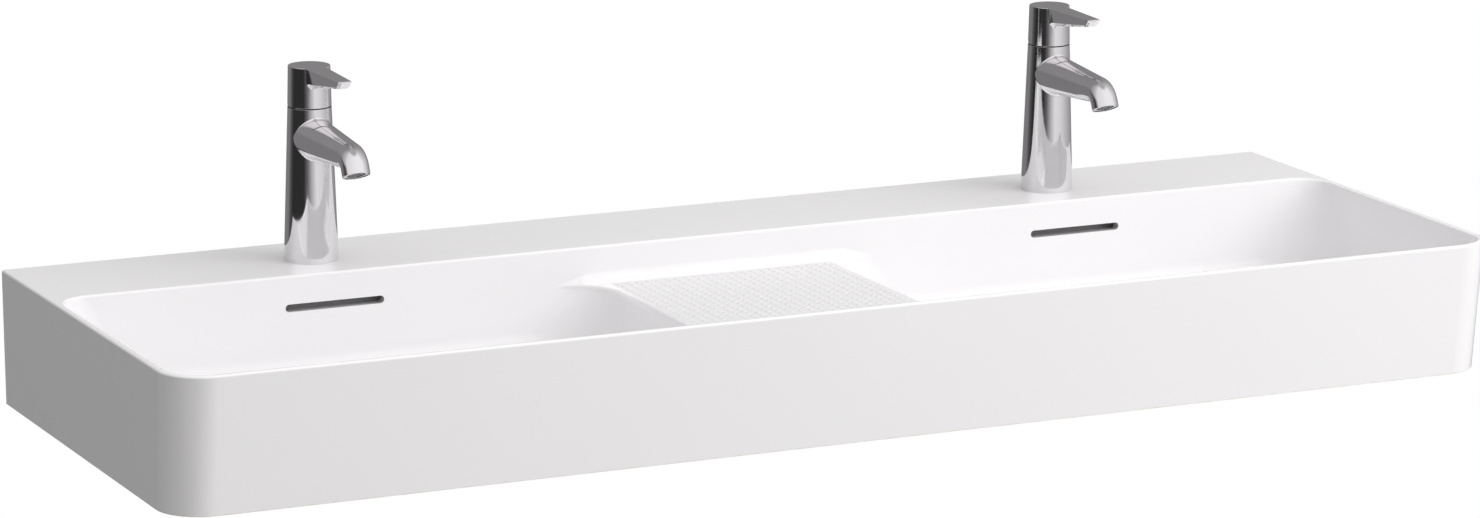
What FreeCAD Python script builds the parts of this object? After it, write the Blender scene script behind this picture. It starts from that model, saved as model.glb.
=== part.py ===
import FreeCAD, Part
import math
import os
import re

import Sketcher

# Wall-hung double basin with two single-lever taps and two push-open wastes.
# Millimetres and degrees. X runs along the wall, +Y into the wall, +Z up.
# The origin lies on the wall plane, on the centre line, at the height of the fixing holes.

# Flat steps that make a quarter round on the rim and the shelf's edge
ROUND_STEPS = 3
# Jets in each ring of the aerator, from the middle outwards
JET_RINGS = (6, 12)

SIZES = {
    # Ceramic, outside
    "basin_spacing": 700.0,
    "end_reach": 250.0,
    "basin_depth": 420.0,
    "bolt_drop": 60.0,
    "front_corner": 37.5,
    "front_set_back": 11.0,
    "side_set_back": 1.2,
    "rim_width": 6.0,
    "rim_round": 2.2,
    # Ceramic, inside
    "deck_depth": 119.0,
    "bowl_depth": 90.0,
    "back_lean": 3.0,
    "front_lean": 14.0,
    "end_lean": 8.0,
    "rear_corner": 28.0,
    "floor_corner": 70.0,
    "floor_fillet": 25.0,
    "shelf_width": 218.0,
    "shelf_drop": 31.0,
    "shelf_lean": 12.0,
    "shelf_corner": 42.0,
    "shelf_fillet": 10.0,
    "shelf_edge": 5.0,
    # Ceramic, walls and hidden spaces
    "deck_thickness": 14.0,
    "back_wall": 12.0,
    "end_wall": 14.0,
    "bowl_shell": 10.0,
    "recess_margin": 14.0,
    "slot_length": 88.0,
    "slot_height": 6.5,
    "slot_drop": 27.5,
    "channel_wall": 8.0,
    "channel_margin": 6.0,
    "channel_depth": 8.0,
    "duct_width": 40.0,
    "duct_height": 9.0,
    "duct_floor": 6.0,
    "bolt_spacing": 280.0,
    "bolt_hole": 14.0,
    "tap_hole": 35.0,
    "drain_set_back": 250.0,
    "drain_clear": 2.05,
    "drain_boss_margin": 6.0,
    "flange_clear": 1.0,
    # A running fit and a free gap, each on one side, and how far a cut reaches past a face
    "running": 0.05,
    "part_gap": 0.3,
    "overcut": 1.0,
    # Tap, outside
    "tap_base": 46.0,
    "tap_body_height": 130.7,
    "neck_wall": 3.0,
    "crown_taper": 0.75,
    "handle_gap": 1.5,
    "handle_height": 33.5,
    "handle_bevel": 0.8,
    # Tap, lever
    "lever_reach": 82.0,
    "lever_root_width": 18.5,
    "lever_tip_width": 13.0,
    "lever_root_depth": 16.0,
    "lever_tip_depth": 6.0,
    "lever_keel": 0.5,
    "lever_flare": 3.5,
    "lever_facet": 4.5,
    # Tap, spout
    "spout_drop": 25.2,
    "spout_reach": 105.5,
    "spout_root": 36.5,
    "spout_tip": 23.5,
    "spout_wall": 2.2,
    "spout_bend": 65.0,
    "spout_bend_radius": 14.0,
    "spout_lip": 7.0,
    "spigot": 16.0,
    "spigot_wall": 2.0,
    "aerator_wall": 1.2,
    "aerator_recess": 0.6,
    "aerator_insert_height": 3.0,
    "aerator_jet": 1.8,
    "jet_edge": 1.0,
    # Tap body, inside
    "tap_wall": 4.0,
    "seal_inset": 1.0,
    "seal_width": 2.0,
    "seal_thickness": 1.5,
    "chamber": 28.0,
    "chamber_plate": 11.0,
    "thread_step": 1.5,
    "nut_height": 7.7,
    "nut_recess": 2.5,
    "port": 7.0,
    "port_spread": 10.4,
    "port_forward": 3.9,
    "waterway": 4.5,
    # Tap fixing under the deck
    "stud": 8.0,
    "stud_clear": 1.5,
    "stud_wall": 4.0,
    "stud_boss_low": 4.0,
    "stud_grip": 16.0,
    "stud_spare": 18.0,
    "clamp": 44.0,
    "clamp_room": 7.0,
    "clamp_slot": 25.0,
    "clamp_web": 1.5,
    "clamp_rubber_height": 3.0,
    "clamp_plate_height": 3.0,
    "stud_nut_wall": 2.5,
    "stud_nut_height": 8.0,
    # Cartridge
    "cartridge_clear": 0.1,
    "base_height": 13.0,
    "housing_wall": 1.8,
    "housing_roof": 1.0,
    "housing_neck_wall": 2.6,
    "neck_recess": 1.5,
    "fixed_disc_height": 3.0,
    "moving_disc_height": 3.0,
    "pocket_half": 6.3,
    "pocket_front": 1.25,
    "pocket_back": 5.5,
    "pocket_depth": 1.5,
    "outlet_back": 3.5,
    "carriage_plate": 2.0,
    "carriage_wall": 1.85,
    "socket_rise": 1.0,
    "socket_depth": 3.3,
    "socket_clear": 0.15,
    "rotor_flange": 2.7,
    "stem_margin": 0.33,
    "rotor_ear": 3.8,
    "pivot_pin": 3.0,
    "pin_inset": 0.6,
    "spindle_width": 4.8,
    "spindle_neck": 2.0,
    "spindle_tip": 3.6,
    "hub_wall": 1.7,
    "spindle_square": 7.0,
    "spindle_rise": 23.0,
    "tip_arm": 8.0,
    "tilt_max": 20.0,
    # Handle, inside
    "handle_wall": 4.0,
    "handle_roof": 9.5,
    "socket_wall": 4.0,
    "handle_boss_rise": 8.0,
    "grub": 5.0,
    "grub_length": 9.5,
    "grub_drop": 7.0,
    "grub_rib": 9.0,
    "index_plug": 6.0,
    "index_plug_length": 3.6,
    # Waste
    "waste_thread": 41.9,
    "waste_wall": 3.95,
    "flange_width": 11.05,
    "waste_flange_height": 2.0,
    "flange_seal_height": 2.0,
    "overflow_window": 24.0,
    "spider_drop": 20.0,
    "spider_height": 8.0,
    "spider_arm": 3.5,
    "spider_wall": 3.0,
    "under_seal_width": 13.05,
    "under_seal_height": 4.0,
    "back_nut_wall": 8.05,
    "back_nut_height": 9.0,
    "thread_relief": 0.8,
    "thread_relief_height": 1.5,
    "tail_length": 25.5,
    "latch": 10.0,
    "latch_floor": 9.7,
    "plug_margin": 2.0,
    "plug_cap_height": 4.0,
    "plug_edge": 1.5,
    "plug_boss_height": 5.0,
    "plug_seal_width": 3.7,
    "plug_seal_height": 3.0,
    "plug_stem": 6.0,
    "plug_stem_length": 31.0,
}

# Places and sizes that follow from the driving sizes
DERIVED = {
    # Ceramic
    "half_length": "basin_spacing / 2 + end_reach",
    "rim_z": "bolt_drop",
    "shelf_z": "rim_z - shelf_drop",
    "floor_z": "rim_z - bowl_depth",
    "floor_under_z": "floor_z - bowl_shell",
    "duct_low_z": "floor_under_z - duct_height",
    "bottom_z": "duct_low_z - duct_floor",
    "deck_under_z": "rim_z - deck_thickness",
    "pool_half_length": "half_length - rim_width",
    "pool_front_y": "rim_width - basin_depth",
    "pool_back_y": "-deck_depth",
    "pool_front_corner": "front_corner - rim_width",
    "shelf_half": "shelf_width / 2",
    "hollow_half": "shelf_half - shelf_edge - bowl_shell",
    "left_x": "-basin_spacing / 2",
    "right_x": "basin_spacing / 2",
    "slot_z": "rim_z - slot_drop",
    "slot_straight": "(slot_length - slot_height) / 2",
    "slot_front_y": "pool_back_y - back_lean - overcut",
    "channel_half": "slot_length / 2 + channel_margin",
    "channel_front_y": "channel_wall - deck_depth",
    "channel_back_y": "channel_front_y + channel_depth",
    "channel_outer_y": "channel_back_y + channel_wall",
    "tap_y": "channel_outer_y + clamp / 2 + clamp_room",
    "drain_y": "-drain_set_back",
    # Tap heights above the deck, from the body's top down to the hoses' hollow
    "spout_height": "tap_body_height - spout_drop",
    "nut_high": "tap_body_height - nut_recess",
    "shoulder": "nut_high - nut_height",
    "roof_low": "shoulder - housing_roof",
    "flange_high": "roof_low - part_gap",
    "flange_low": "flange_high - rotor_flange",
    "carriage_top": "flange_low - part_gap",
    "moving_top": "carriage_top - carriage_plate",
    "fixed_top": "moving_top - moving_disc_height",
    "base_top": "fixed_top - fixed_disc_height",
    "base_drain": "base_top - waterway",
    "chamber_floor": "base_top - base_height",
    "hollow_top": "chamber_floor - chamber_plate",
    # Handle heights above the deck
    "cap_low": "tap_body_height + handle_gap",
    "cap_high": "cap_low + handle_height",
    "cavity_high": "cap_high - handle_roof",
    "pivot": "tap_body_height + handle_gap / 2",
    "tip": "pivot - tip_arm",
    "head_low": "pivot + (rotor_ear + part_gap + head_half * sin(tilt_max)) / cos(tilt_max)",
    "spindle_high": "pivot + spindle_rise",
    "grub_height": "spindle_high - grub_drop",
    # Tap radii and reaches
    "nut_thread_radius": "chamber / 2 + thread_step",
    "neck_radius": "nut_thread_radius + neck_wall",
    "crown_radius": "neck_radius - crown_taper",
    "cap_bore_radius": "neck_radius - handle_wall",
    "base_radius": "tap_base / 2",
    "column_taper": "(base_radius - neck_radius) / tap_body_height",
    "hollow_top_radius": "base_radius - column_taper * hollow_top - tap_wall",
    "groove_outer": "base_radius - seal_inset",
    "groove_inner": "groove_outer - seal_width",
    "stud_radius": "stud / 2",
    "stud_back": "tap_hole / 2 - stud_radius - stud_clear",
    "clamp_slot_y": "stud_back - stud_radius - clamp_web - clamp_slot / 2",
    "cartridge_radius": "chamber / 2 - cartridge_clear",
    "cavity_radius": "cartridge_radius - housing_wall",
    "disc_slide": "tip_arm * sin(tilt_max)",
    "moving_radius": "cavity_radius - disc_slide - part_gap",
    "rotor_slot_half": "spindle_width / 2 + part_gap",
    "socket_half": "spindle_tip / 2 + socket_clear",
    "carriage_half": "socket_half + carriage_wall",
    "rotor_stem": "sqrt((carriage_half + disc_slide) ^ 2 + rotor_slot_half ^ 2) + stem_margin",
    "housing_neck": "rotor_stem + housing_neck_wall",
    "head_half": "spindle_square / 2",
    "handle_boss_radius": "head_half + socket_wall",
    "bend_y": "-(spout_reach - spout_bend_radius * sin(spout_bend) - spout_lip * cos(spout_bend))",
    "bend_height": "spout_height - spout_bend_radius",
    "lip_y": "bend_y - spout_bend_radius * sin(spout_bend)",
    "lip_height": "bend_height + spout_bend_radius * cos(spout_bend)",
    "spigot_bore_radius": "spigot / 2 - spigot_wall",
    "spout_tip_radius": "spout_tip / 2",
    "spout_bore_radius": "spout_tip_radius - spout_wall",
    "aerator_radius": "spout_bore_radius - running",
    "aerator_bore": "aerator_radius - aerator_wall",
    "jet_pitch": f"(aerator_bore - aerator_jet / 2 - jet_edge) / {len(JET_RINGS)}",
    # Waste levels above the bowl's floor, and radii
    "bottom_level": "bottom_z - floor_z",
    "flange_low_level": "-waste_flange_height",
    "seat_level": "flange_low_level - flange_seal_height",
    "under_seal_low": "bottom_level - under_seal_height",
    "back_nut_low": "under_seal_low - back_nut_height",
    "tail_high": "back_nut_low - thread_relief_height",
    "tail_low": "tail_high - tail_length",
    "spider_high": "-spider_drop",
    "spider_low": "spider_high - spider_height",
    "plug_boss_low": "part_gap - plug_boss_height",
    "stem_low": "plug_boss_low - plug_stem_length",
    "latch_high": "spider_high + part_gap",
    "latch_low": "stem_low - part_gap - latch_floor",
    "waste_radius": "waste_thread / 2",
    "waste_bore_radius": "waste_radius - waste_wall",
    "flange_radius": "waste_radius + flange_width",
    "under_seal_radius": "waste_radius + under_seal_width",
    "drain_radius": "waste_radius + drain_clear",
    "drain_boss_radius": "under_seal_radius + drain_boss_margin",
    "plug_cap_radius": "flange_radius - plug_margin",
    "plug_boss_radius": "waste_bore_radius - part_gap - plug_seal_width",
    "plug_stem_radius": "plug_stem / 2",
}

doc = FreeCAD.newDocument("double_basin")
sizes = doc.addObject("Spreadsheet::Sheet", "sizes")
for row, (alias, size) in enumerate(SIZES.items(), start=1):
    sizes.set(f"A{row}", alias)
    sizes.set(f"B{row}", str(size))
    sizes.setAlias(f"B{row}", alias)
doc.recompute()


def reads(formula):
    """Turn a formula in plain size names into one that reads the sheet."""
    def swap(match):
        word = match.group(0)
        if word in SIZES:
            return "sizes." + word
        if word in DERIVED:
            return "derived." + word
        return word
    return re.sub(r"[a-z_]+", swap, str(formula))


derived = doc.addObject("App::VarSet", "derived")
for alias, formula in DERIVED.items():
    derived.addProperty("App::PropertyFloat", alias)
    derived.setExpression(alias, reads(formula))
probe = doc.addObject("App::VarSet", "probe")
probe.addProperty("App::PropertyFloat", "result")
doc.recompute()


def number(formula):
    """The present value of a formula in size names."""
    probe.setExpression("result", reads(formula))
    probe.recompute()
    return probe.result


def bind(item, formulas):
    """Bind properties of an object to formulas in size names."""
    for name, formula in formulas.items():
        item.setExpression(name, reads(formula))
    return item


class Spot:
    """A reference place; pieces are given by formulas counted from it."""

    def __init__(self, x, y, z):
        self.x, self.y, self.z = x, y, z

    def put(self, item, x="0", y="0", z="0"):
        """Bind an object's place."""
        return bind(item, {
            "Placement.Base.x": f"{self.x} + ({x})",
            "Placement.Base.y": f"{self.y} + ({y})",
            "Placement.Base.z": f"{self.z} + ({z})",
        })

    def box(self, name, x, y, z):
        """A block from three pairs of low and high formulas."""
        block = doc.addObject("Part::Box", name)
        bind(block, {
            "Length": f"({x[1]}) - ({x[0]})",
            "Width": f"({y[1]}) - ({y[0]})",
            "Height": f"({z[1]}) - ({z[0]})",
        })
        return self.put(block, x[0], y[0], z[0])

    def slab(self, name, half_x, y, z):
        """A block centred across X."""
        return self.box(name, (f"-({half_x})", half_x), y, z)

    def rod(self, name, radius, low, high, x="0", y="0"):
        """An upright cylinder between two levels."""
        cylinder = doc.addObject("Part::Cylinder", name)
        bind(cylinder, {"Radius": radius, "Height": f"({high}) - ({low})"})
        return self.put(cylinder, x, y, low)

    def bar_x(self, name, radius, half, y="0", z="0"):
        """A cylinder along X, centred."""
        cylinder = doc.addObject("Part::Cylinder", name)
        bind(cylinder, {"Radius": radius, "Height": f"2 * ({half})"})
        cylinder.Placement.Rotation = FreeCAD.Rotation(FreeCAD.Vector(0, 1, 0), 90)
        return self.put(cylinder, f"-({half})", y, z)

    def bar_y(self, name, radius, low, high, x="0", z="0"):
        """A cylinder along Y between two depths."""
        cylinder = doc.addObject("Part::Cylinder", name)
        bind(cylinder, {"Radius": radius, "Height": f"({high}) - ({low})"})
        cylinder.Placement.Rotation = FreeCAD.Rotation(FreeCAD.Vector(1, 0, 0), -90)
        return self.put(cylinder, x, low, z)

    def hexagon(self, name, flat_radius, low, high, x="0", y="0"):
        """An upright hexagonal prism, sized from its axis to a flat."""
        prism = doc.addObject("Part::Prism", name)
        prism.Polygon = 6
        bind(prism, {"Circumradius": f"({flat_radius}) / cos(30)", "Height": f"({high}) - ({low})"})
        return self.put(prism, x, y, low)

    def turned(self, name, profile):
        """A body turned about the upright axis from a closed outline of radii and heights."""
        body = doc.addObject("PartDesign::Body", name)
        sketch = sketch_in(body, name + "_profile", "XZ_Plane")
        polygon(sketch, profile)
        doc.recompute()
        turn = body.newObject("PartDesign::Revolution", name + "_turn")
        turn.Profile = sketch
        turn.ReferenceAxis = (sketch, ["V_Axis"])
        turn.Angle = 360
        doc.recompute()
        return self.put(body)

    def ring(self, name, inner, outer, low, high):
        """A plain ring about the upright axis."""
        return self.turned(name, [(inner, low), (outer, low), (outer, high), (inner, high)])


def fuse(name, *pieces):
    """Join pieces into one solid."""
    union = doc.addObject("Part::MultiFuse", name)
    union.Shapes = list(pieces)
    return union


def cut(name, base, *tools):
    """Take tools away from a base."""
    result = doc.addObject("Part::Cut", name)
    result.Base = base
    result.Tool = tools[0] if len(tools) == 1 else fuse(name + "_tools", *tools)
    return result


def sketch_in(body, name, role, offset="0"):
    """A sketch on one of a body's own planes, moved along the plane's normal."""
    sketch = body.newObject("Sketcher::SketchObject", name)
    plane = next(item for item in body.Origin.OriginFeatures if item.Role == role)
    sketch.AttachmentSupport = [(plane, "")]
    sketch.MapMode = "FlatFace"
    sketch.setExpression("AttachmentOffset.Base.z", reads(offset))
    return sketch


def hold(sketch, kind, *where, formula):
    """Add a dimension to a sketch and bind it."""
    index = sketch.addConstraint(Sketcher.Constraint(kind, *where, number(formula)))
    sketch.setExpression(f"Constraints[{index}]", reads(formula))


def outline(sketch, x, y, radii):
    """A rectangle whose corners may be round: front left, front right, rear right, rear left."""
    low_x, high_x = number(x[0]), number(x[1])
    low_y, high_y = number(y[0]), number(y[1])
    corners = [(low_x, low_y), (high_x, low_y), (high_x, high_y), (low_x, high_y)]
    inward = [(1, 1), (-1, 1), (-1, -1), (1, -1)]
    along = [(1, 0), (0, 1), (-1, 0), (0, -1)]
    sizes_now = [number(radius) for radius in radii]
    sides, chain = [], []
    for k in range(4):
        after = (k + 1) % 4
        start = [corners[k][i] + along[k][i] * sizes_now[k] for i in (0, 1)]
        end = [corners[after][i] - along[k][i] * sizes_now[after] for i in (0, 1)]
        line = Part.LineSegment(FreeCAD.Vector(*start, 0), FreeCAD.Vector(*end, 0))
        sides.append(sketch.addGeometry(line, False))
        chain.append(("line", sides[-1]))
        if sizes_now[after] > 0:
            centre = [corners[after][i] + inward[after][i] * sizes_now[after] for i in (0, 1)]
            circle = Part.Circle(FreeCAD.Vector(*centre, 0), FreeCAD.Vector(0, 0, 1), sizes_now[after])
            first = math.pi + after * math.pi / 2
            arc = sketch.addGeometry(Part.ArcOfCircle(circle, first, first + math.pi / 2), False)
            chain.append(("arc", arc))
            hold(sketch, "Radius", arc, formula=radii[after])
    for (kind, item), (next_kind, following) in zip(chain, chain[1:] + chain[:1]):
        joint = "Coincident" if kind == next_kind else "Tangent"
        sketch.addConstraint(Sketcher.Constraint(joint, item, 2, following, 1))
    for k, direction in enumerate(("Horizontal", "Vertical", "Horizontal", "Vertical")):
        sketch.addConstraint(Sketcher.Constraint(direction, sides[k]))
    hold(sketch, "DistanceY", -1, 1, sides[0], 1, formula=y[0])
    hold(sketch, "DistanceX", -1, 1, sides[1], 1, formula=x[1])
    hold(sketch, "DistanceY", -1, 1, sides[2], 1, formula=y[1])
    hold(sketch, "DistanceX", -1, 1, sides[3], 1, formula=x[0])


def polygon(sketch, points):
    """A closed outline of straight lines, with each corner bound."""
    places = [FreeCAD.Vector(number(x), number(y), 0) for x, y in points]
    for start, end in zip(places, places[1:] + places[:1]):
        sketch.addGeometry(Part.LineSegment(start, end), False)
    for k, (x, y) in enumerate(points):
        sketch.addConstraint(Sketcher.Constraint("Coincident", k - 1 if k else len(points) - 1, 2, k, 1))
        hold(sketch, "DistanceX", -1, 1, k, 1, formula=x)
        hold(sketch, "DistanceY", -1, 1, k, 1, formula=y)


def loft_body(name, levels):
    """A body with straight flanks through outlines at several levels."""
    body = doc.addObject("PartDesign::Body", name)
    sketches = []
    for k, (level, x, y, radii) in enumerate(levels):
        sketches.append(sketch_in(body, f"{name}_outline_{k}", "XY_Plane", level))
        outline(sketches[-1], x, y, radii)
    doc.recompute()
    loft = body.newObject("PartDesign::AdditiveLoft", name + "_loft")
    loft.Profile = sketches[0]
    loft.Sections = sketches[1:]
    loft.Ruled = True
    doc.recompute()
    return body


def round_edges(body, name, radius, chosen):
    """Fillet those edges of a body's last feature that a test picks."""
    last = body.Tip
    names = [f"Edge{k}" for k, edge in enumerate(last.Shape.Edges, start=1) if chosen(edge)]
    fillet = body.newObject("PartDesign::Fillet", name)
    fillet.Base = (last, names)
    bind(fillet, {"Radius": radius})
    doc.recompute()
    return body


def level_edge(level):
    """A test for edges that lie at one level."""
    height = number(level)
    return lambda edge: all(abs(v.Z - height) < 1e-4 for v in edge.Vertexes)


WALL = Spot("0", "0", "0")


def quarter(k):
    """Sine and cosine of one step of a rounded edge."""
    angle = math.pi / 2 * k / ROUND_STEPS
    return math.sin(angle), math.cos(angle)


def pool_level(drop, flare="0"):
    """The pool's outline at a depth below the rim, with its walls leaning in and its corners widening."""
    share = f"({drop}) / bowl_depth"
    end = f"pool_half_length - end_lean * {share} + {flare}"
    front = f"pool_front_corner + (floor_corner - pool_front_corner) * {share} + {flare}"
    rear = f"rear_corner + (floor_corner - rear_corner) * {share} + {flare}"
    front_y = f"pool_front_y + front_lean * {share} - {flare}"
    back_y = f"pool_back_y - back_lean * {share} + {flare}"
    return f"rim_z - ({drop})", (f"-({end})", end), (front_y, back_y), (front, front, rear, rear)


def make_basin():
    """The ceramic: a block with a pool, two bowls, a shelf, and hidden channels and cavities."""
    levels = [("bottom_z", "side_set_back", "front_set_back")]
    for k in range(ROUND_STEPS + 1):
        rise, reach = quarter(k)
        inset = f"rim_round * {1 - reach}"
        levels.append((f"rim_z - rim_round * {1 - rise}", inset, inset))
    block = loft_body("block", [
        (level, (f"{side} - half_length", f"half_length - {side}"), (f"{front} - basin_depth", "overcut"),
         ("front_corner", "front_corner", "0", "0"))
        for level, side, front in levels])
    beyond_wall = WALL.slab("beyond_wall", "half_length + overcut", ("0", "2 * overcut"),
                            ("bottom_z - overcut", "rim_z + overcut"))

    # The pool reaches from the rim to the shelf, and flares where the rim is rounded
    levels = []
    for k in range(ROUND_STEPS + 1):
        fall, reach = quarter(k)
        levels.append(pool_level(f"rim_round * {1 - reach}", f"rim_round * {1 - fall}"))
    pool = loft_body("pool", levels + [pool_level("shelf_drop")])
    round_edges(pool, "shelf_fillets", "shelf_fillet", level_edge("shelf_z"))

    voids = [pool]
    for side, sign in (("left", -1), ("right", 1)):
        voids.append(make_bowl(side, sign))

    service = WALL.box(
        "service_cavity", ("end_wall - half_length", "half_length - end_wall"),
        ("bowl_shell - deck_depth", "-back_wall"), ("bottom_z", "deck_under_z"))
    hollow = WALL.slab("shelf_hollow", "hollow_half", ("pool_front_y + recess_margin", "-back_wall"),
                       ("bottom_z", "shelf_z - bowl_shell"))
    shell_cuts, added = [beyond_wall, service, hollow], []
    for side, sign in (("left", -1), ("right", 1)):
        near = "shelf_half + shelf_lean + recess_margin"
        far = "pool_half_length - end_lean - recess_margin"
        shell_cuts.append(WALL.box(
            f"{side}_recess", (near, far) if sign > 0 else (f"-({far})", f"-({near})"),
            ("pool_front_y + front_lean + recess_margin", "pool_back_y - back_lean - recess_margin"),
            ("bottom_z", "floor_under_z")))
        bowl = Spot(f"{side}_x", "0", "0")
        added.append(bowl.slab(f"{side}_channel_house", "channel_half + channel_wall",
                               ("pool_back_y - back_lean", "channel_outer_y"),
                               ("bottom_z", "rim_z - rim_round")))
        added.append(bowl.slab(f"{side}_duct_house", "duct_width / 2 + channel_wall",
                               ("drain_y", "channel_outer_y"), ("bottom_z", "floor_under_z")))
        added.append(bowl.rod(f"{side}_drain_boss", "drain_boss_radius", "bottom_z", "floor_under_z",
                              "0", "drain_y"))
        voids.append(bowl.slab(f"{side}_channel", "channel_half", ("channel_front_y", "channel_back_y"),
                               ("duct_low_z", "slot_z + slot_height")))
        voids.append(bowl.slab(f"{side}_duct", "duct_width / 2", ("drain_y", "channel_back_y"),
                               ("duct_low_z", "floor_under_z")))
        voids.append(bowl.slab(f"{side}_slot", "slot_straight", ("slot_front_y", "channel_back_y"),
                               ("slot_z - slot_height / 2", "slot_z + slot_height / 2")))
        for end, way in (("near", "-"), ("far", "+")):
            voids.append(bowl.bar_y(f"{side}_slot_{end}", "slot_height / 2", "slot_front_y", "channel_back_y",
                                    f"{way} slot_straight", "slot_z"))
            voids.append(bowl.bar_y(f"{side}_bolt_hole_{end}", "bolt_hole / 2", "-back_wall - overcut",
                                    "overcut", f"{way} bolt_spacing / 2"))
        voids.append(bowl.rod(f"{side}_tap_hole", "tap_hole / 2", "deck_under_z - overcut", "rim_z + overcut",
                              "0", "tap_y"))
        voids.append(bowl.rod(f"{side}_drain_hole", "drain_radius", "bottom_z - overcut", "floor_z + overcut",
                              "0", "drain_y"))
        voids.append(bowl.rod(f"{side}_flange_seat", "flange_radius + flange_clear", "floor_z + seat_level",
                              "floor_z + overcut", "0", "drain_y"))
    shell = cut("shell", block, *shell_cuts)
    full = fuse("shell_with_channels", shell, *added)
    return cut("basin_cut", full, *voids)


def make_bowl(side, sign):
    """The space of one bowl: its edge on the shelf is rounded and its corners widen towards the floor."""
    start = "shelf_drop - shelf_fillet - rim_round"
    steps = [(start, "shelf_half - shelf_edge", "shelf_edge")]
    for k in range(ROUND_STEPS + 1):
        fall, rise = quarter(k)
        steps.append((f"shelf_drop + shelf_edge * {1 - rise}", f"shelf_half - shelf_edge * {1 - fall}",
                      f"shelf_corner + shelf_edge * {1 - fall}"))
    steps.append(("bowl_depth", "shelf_half + shelf_lean", "floor_corner"))
    levels = []
    for drop, inner, corner in steps:
        level, (near, far), depth, (front, _, rear, _) = pool_level(drop)
        if sign > 0:
            levels.append((level, (inner, far), depth, (corner, front, rear, corner)))
        else:
            levels.append((level, (near, f"-({inner})"), depth, (front, corner, corner, rear)))
    bowl = loft_body(f"{side}_bowl", levels)
    return round_edges(bowl, f"{side}_floor_fillet", "floor_fillet", level_edge("floor_z"))


def named(item, label):
    """Give a finished sub-part its label."""
    item.Label = label
    PARTS.append(item)
    return item


def make_tap(side):
    """One single-lever tap: body, spout, cartridge, handle and the clamp under the deck."""
    spot = Spot(f"{side}_x", "tap_y", "rim_z")
    make_tap_body(side, spot)
    make_spout(side, spot)
    make_clamp(side, spot)
    make_cartridge(side, spot)
    make_lever_stem(side, spot)
    make_handle(side, spot)


def inlet_holes(side, spot, name, radius, low, high):
    """The hot and the cold hole, side by side."""
    return [spot.rod(f"{side}_{name}_{end}", radius, low, high, f"{way} port_spread / 2", "-port_forward")
            for end, way in (("hot", "-"), ("cold", "+"))]


def column_cone(name, spot):
    """A solid cone with the column's outer face."""
    cone = doc.addObject("Part::Cone", name)
    bind(cone, {"Radius1": "base_radius", "Radius2": "neck_radius", "Height": "tap_body_height"})
    return spot.put(cone)


def make_tap_body(side, spot):
    """The tapering column, with the cartridge's chamber above and a hollow for the hoses below."""
    turned = spot.turned(f"{side}_column", [
        ("base_radius - tap_wall", "0"), ("groove_inner", "0"), ("groove_inner", "seal_thickness"),
        ("groove_outer", "seal_thickness"), ("groove_outer", "0"), ("base_radius", "0"),
        ("neck_radius", "tap_body_height"), ("nut_thread_radius", "tap_body_height"),
        ("nut_thread_radius", "shoulder - part_gap"), ("chamber / 2", "shoulder - part_gap"),
        ("chamber / 2", "chamber_floor"), ("0", "chamber_floor"), ("0", "hollow_top"),
        ("hollow_top_radius", "hollow_top"),
    ])
    boss_levels = ("stud_boss_low", "stud_boss_low + stud_grip + stud_wall")
    boss = fuse(f"{side}_stud_boss_blank",
                spot.rod(f"{side}_stud_boss", "stud_radius + stud_wall", *boss_levels, "0", "stud_back"),
                spot.slab(f"{side}_stud_rib", "stud_radius", ("stud_back", "base_radius"), boss_levels))
    inside = doc.addObject("Part::MultiCommon", f"{side}_stud_boss_inside")
    inside.Shapes = [boss, column_cone(f"{side}_column_boss_limit", spot)]
    holes = inlet_holes(side, spot, "port", "port / 2", "hollow_top - overcut", "chamber_floor + overcut")
    holes.append(spot.rod(f"{side}_stud_hole", "stud_radius", "stud_boss_low - overcut",
                          "stud_boss_low + stud_grip", "0", "stud_back"))
    holes.append(spot.bar_y(f"{side}_spout_hole", "spigot / 2", "-base_radius", "tap_wall - chamber / 2", "0",
                            "spout_height"))
    named(cut(f"{side}_column_cut", fuse(f"{side}_column_boss", turned, inside), *holes), f"{side}_tap_body")
    named(spot.ring(f"{side}_base_ring", "groove_inner", "groove_outer", "0", "seal_thickness"),
          f"{side}_base_seal")


def forward_cone(name, spot, start_radius, end_radius, start, end):
    """A cone that runs forward at the spout's height, between two depths."""
    cone = doc.addObject("Part::Cone", name)
    bind(cone, {"Radius1": start_radius, "Radius2": end_radius, "Height": f"({start}) - ({end})"})
    cone.Placement.Rotation = FreeCAD.Rotation(FreeCAD.Vector(1, 0, 0), 90)
    return spot.put(cone, "0", start, "spout_height")


def spout_bend(name, spot, radius):
    """The bend that turns the spout downward."""
    bend = doc.addObject("Part::Torus", name)
    bind(bend, {"Radius1": "spout_bend_radius", "Radius2": radius, "Angle3": "spout_bend"})
    bend.Placement.Rotation = FreeCAD.Rotation(
        FreeCAD.Vector(0, 0, 1), FreeCAD.Vector(0, -1, 0), FreeCAD.Vector(1, 0, 0), "ZXY")
    return spot.put(bend, "0", "bend_y", "bend_height")


def along_outlet(name, spot, radius, low, high, across="0", forward="0"):
    """A cylinder along the outlet's axis, between two distances from the end of the bend."""
    cylinder = doc.addObject("Part::Cylinder", name)
    bind(cylinder, {"Radius": radius, "Height": f"({high}) - ({low})"})
    cylinder.Placement.Rotation = FreeCAD.Rotation(FreeCAD.Vector(1, 0, 0), 90 + number("spout_bend"))
    bind(cylinder, {"Placement.Rotation.Angle": "90 + spout_bend"})
    return spot.put(cylinder, across,
                    f"lip_y - ({low}) * cos(spout_bend) - ({forward}) * sin(spout_bend)",
                    f"lip_height - ({low}) * sin(spout_bend) + ({forward}) * cos(spout_bend)")


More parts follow.
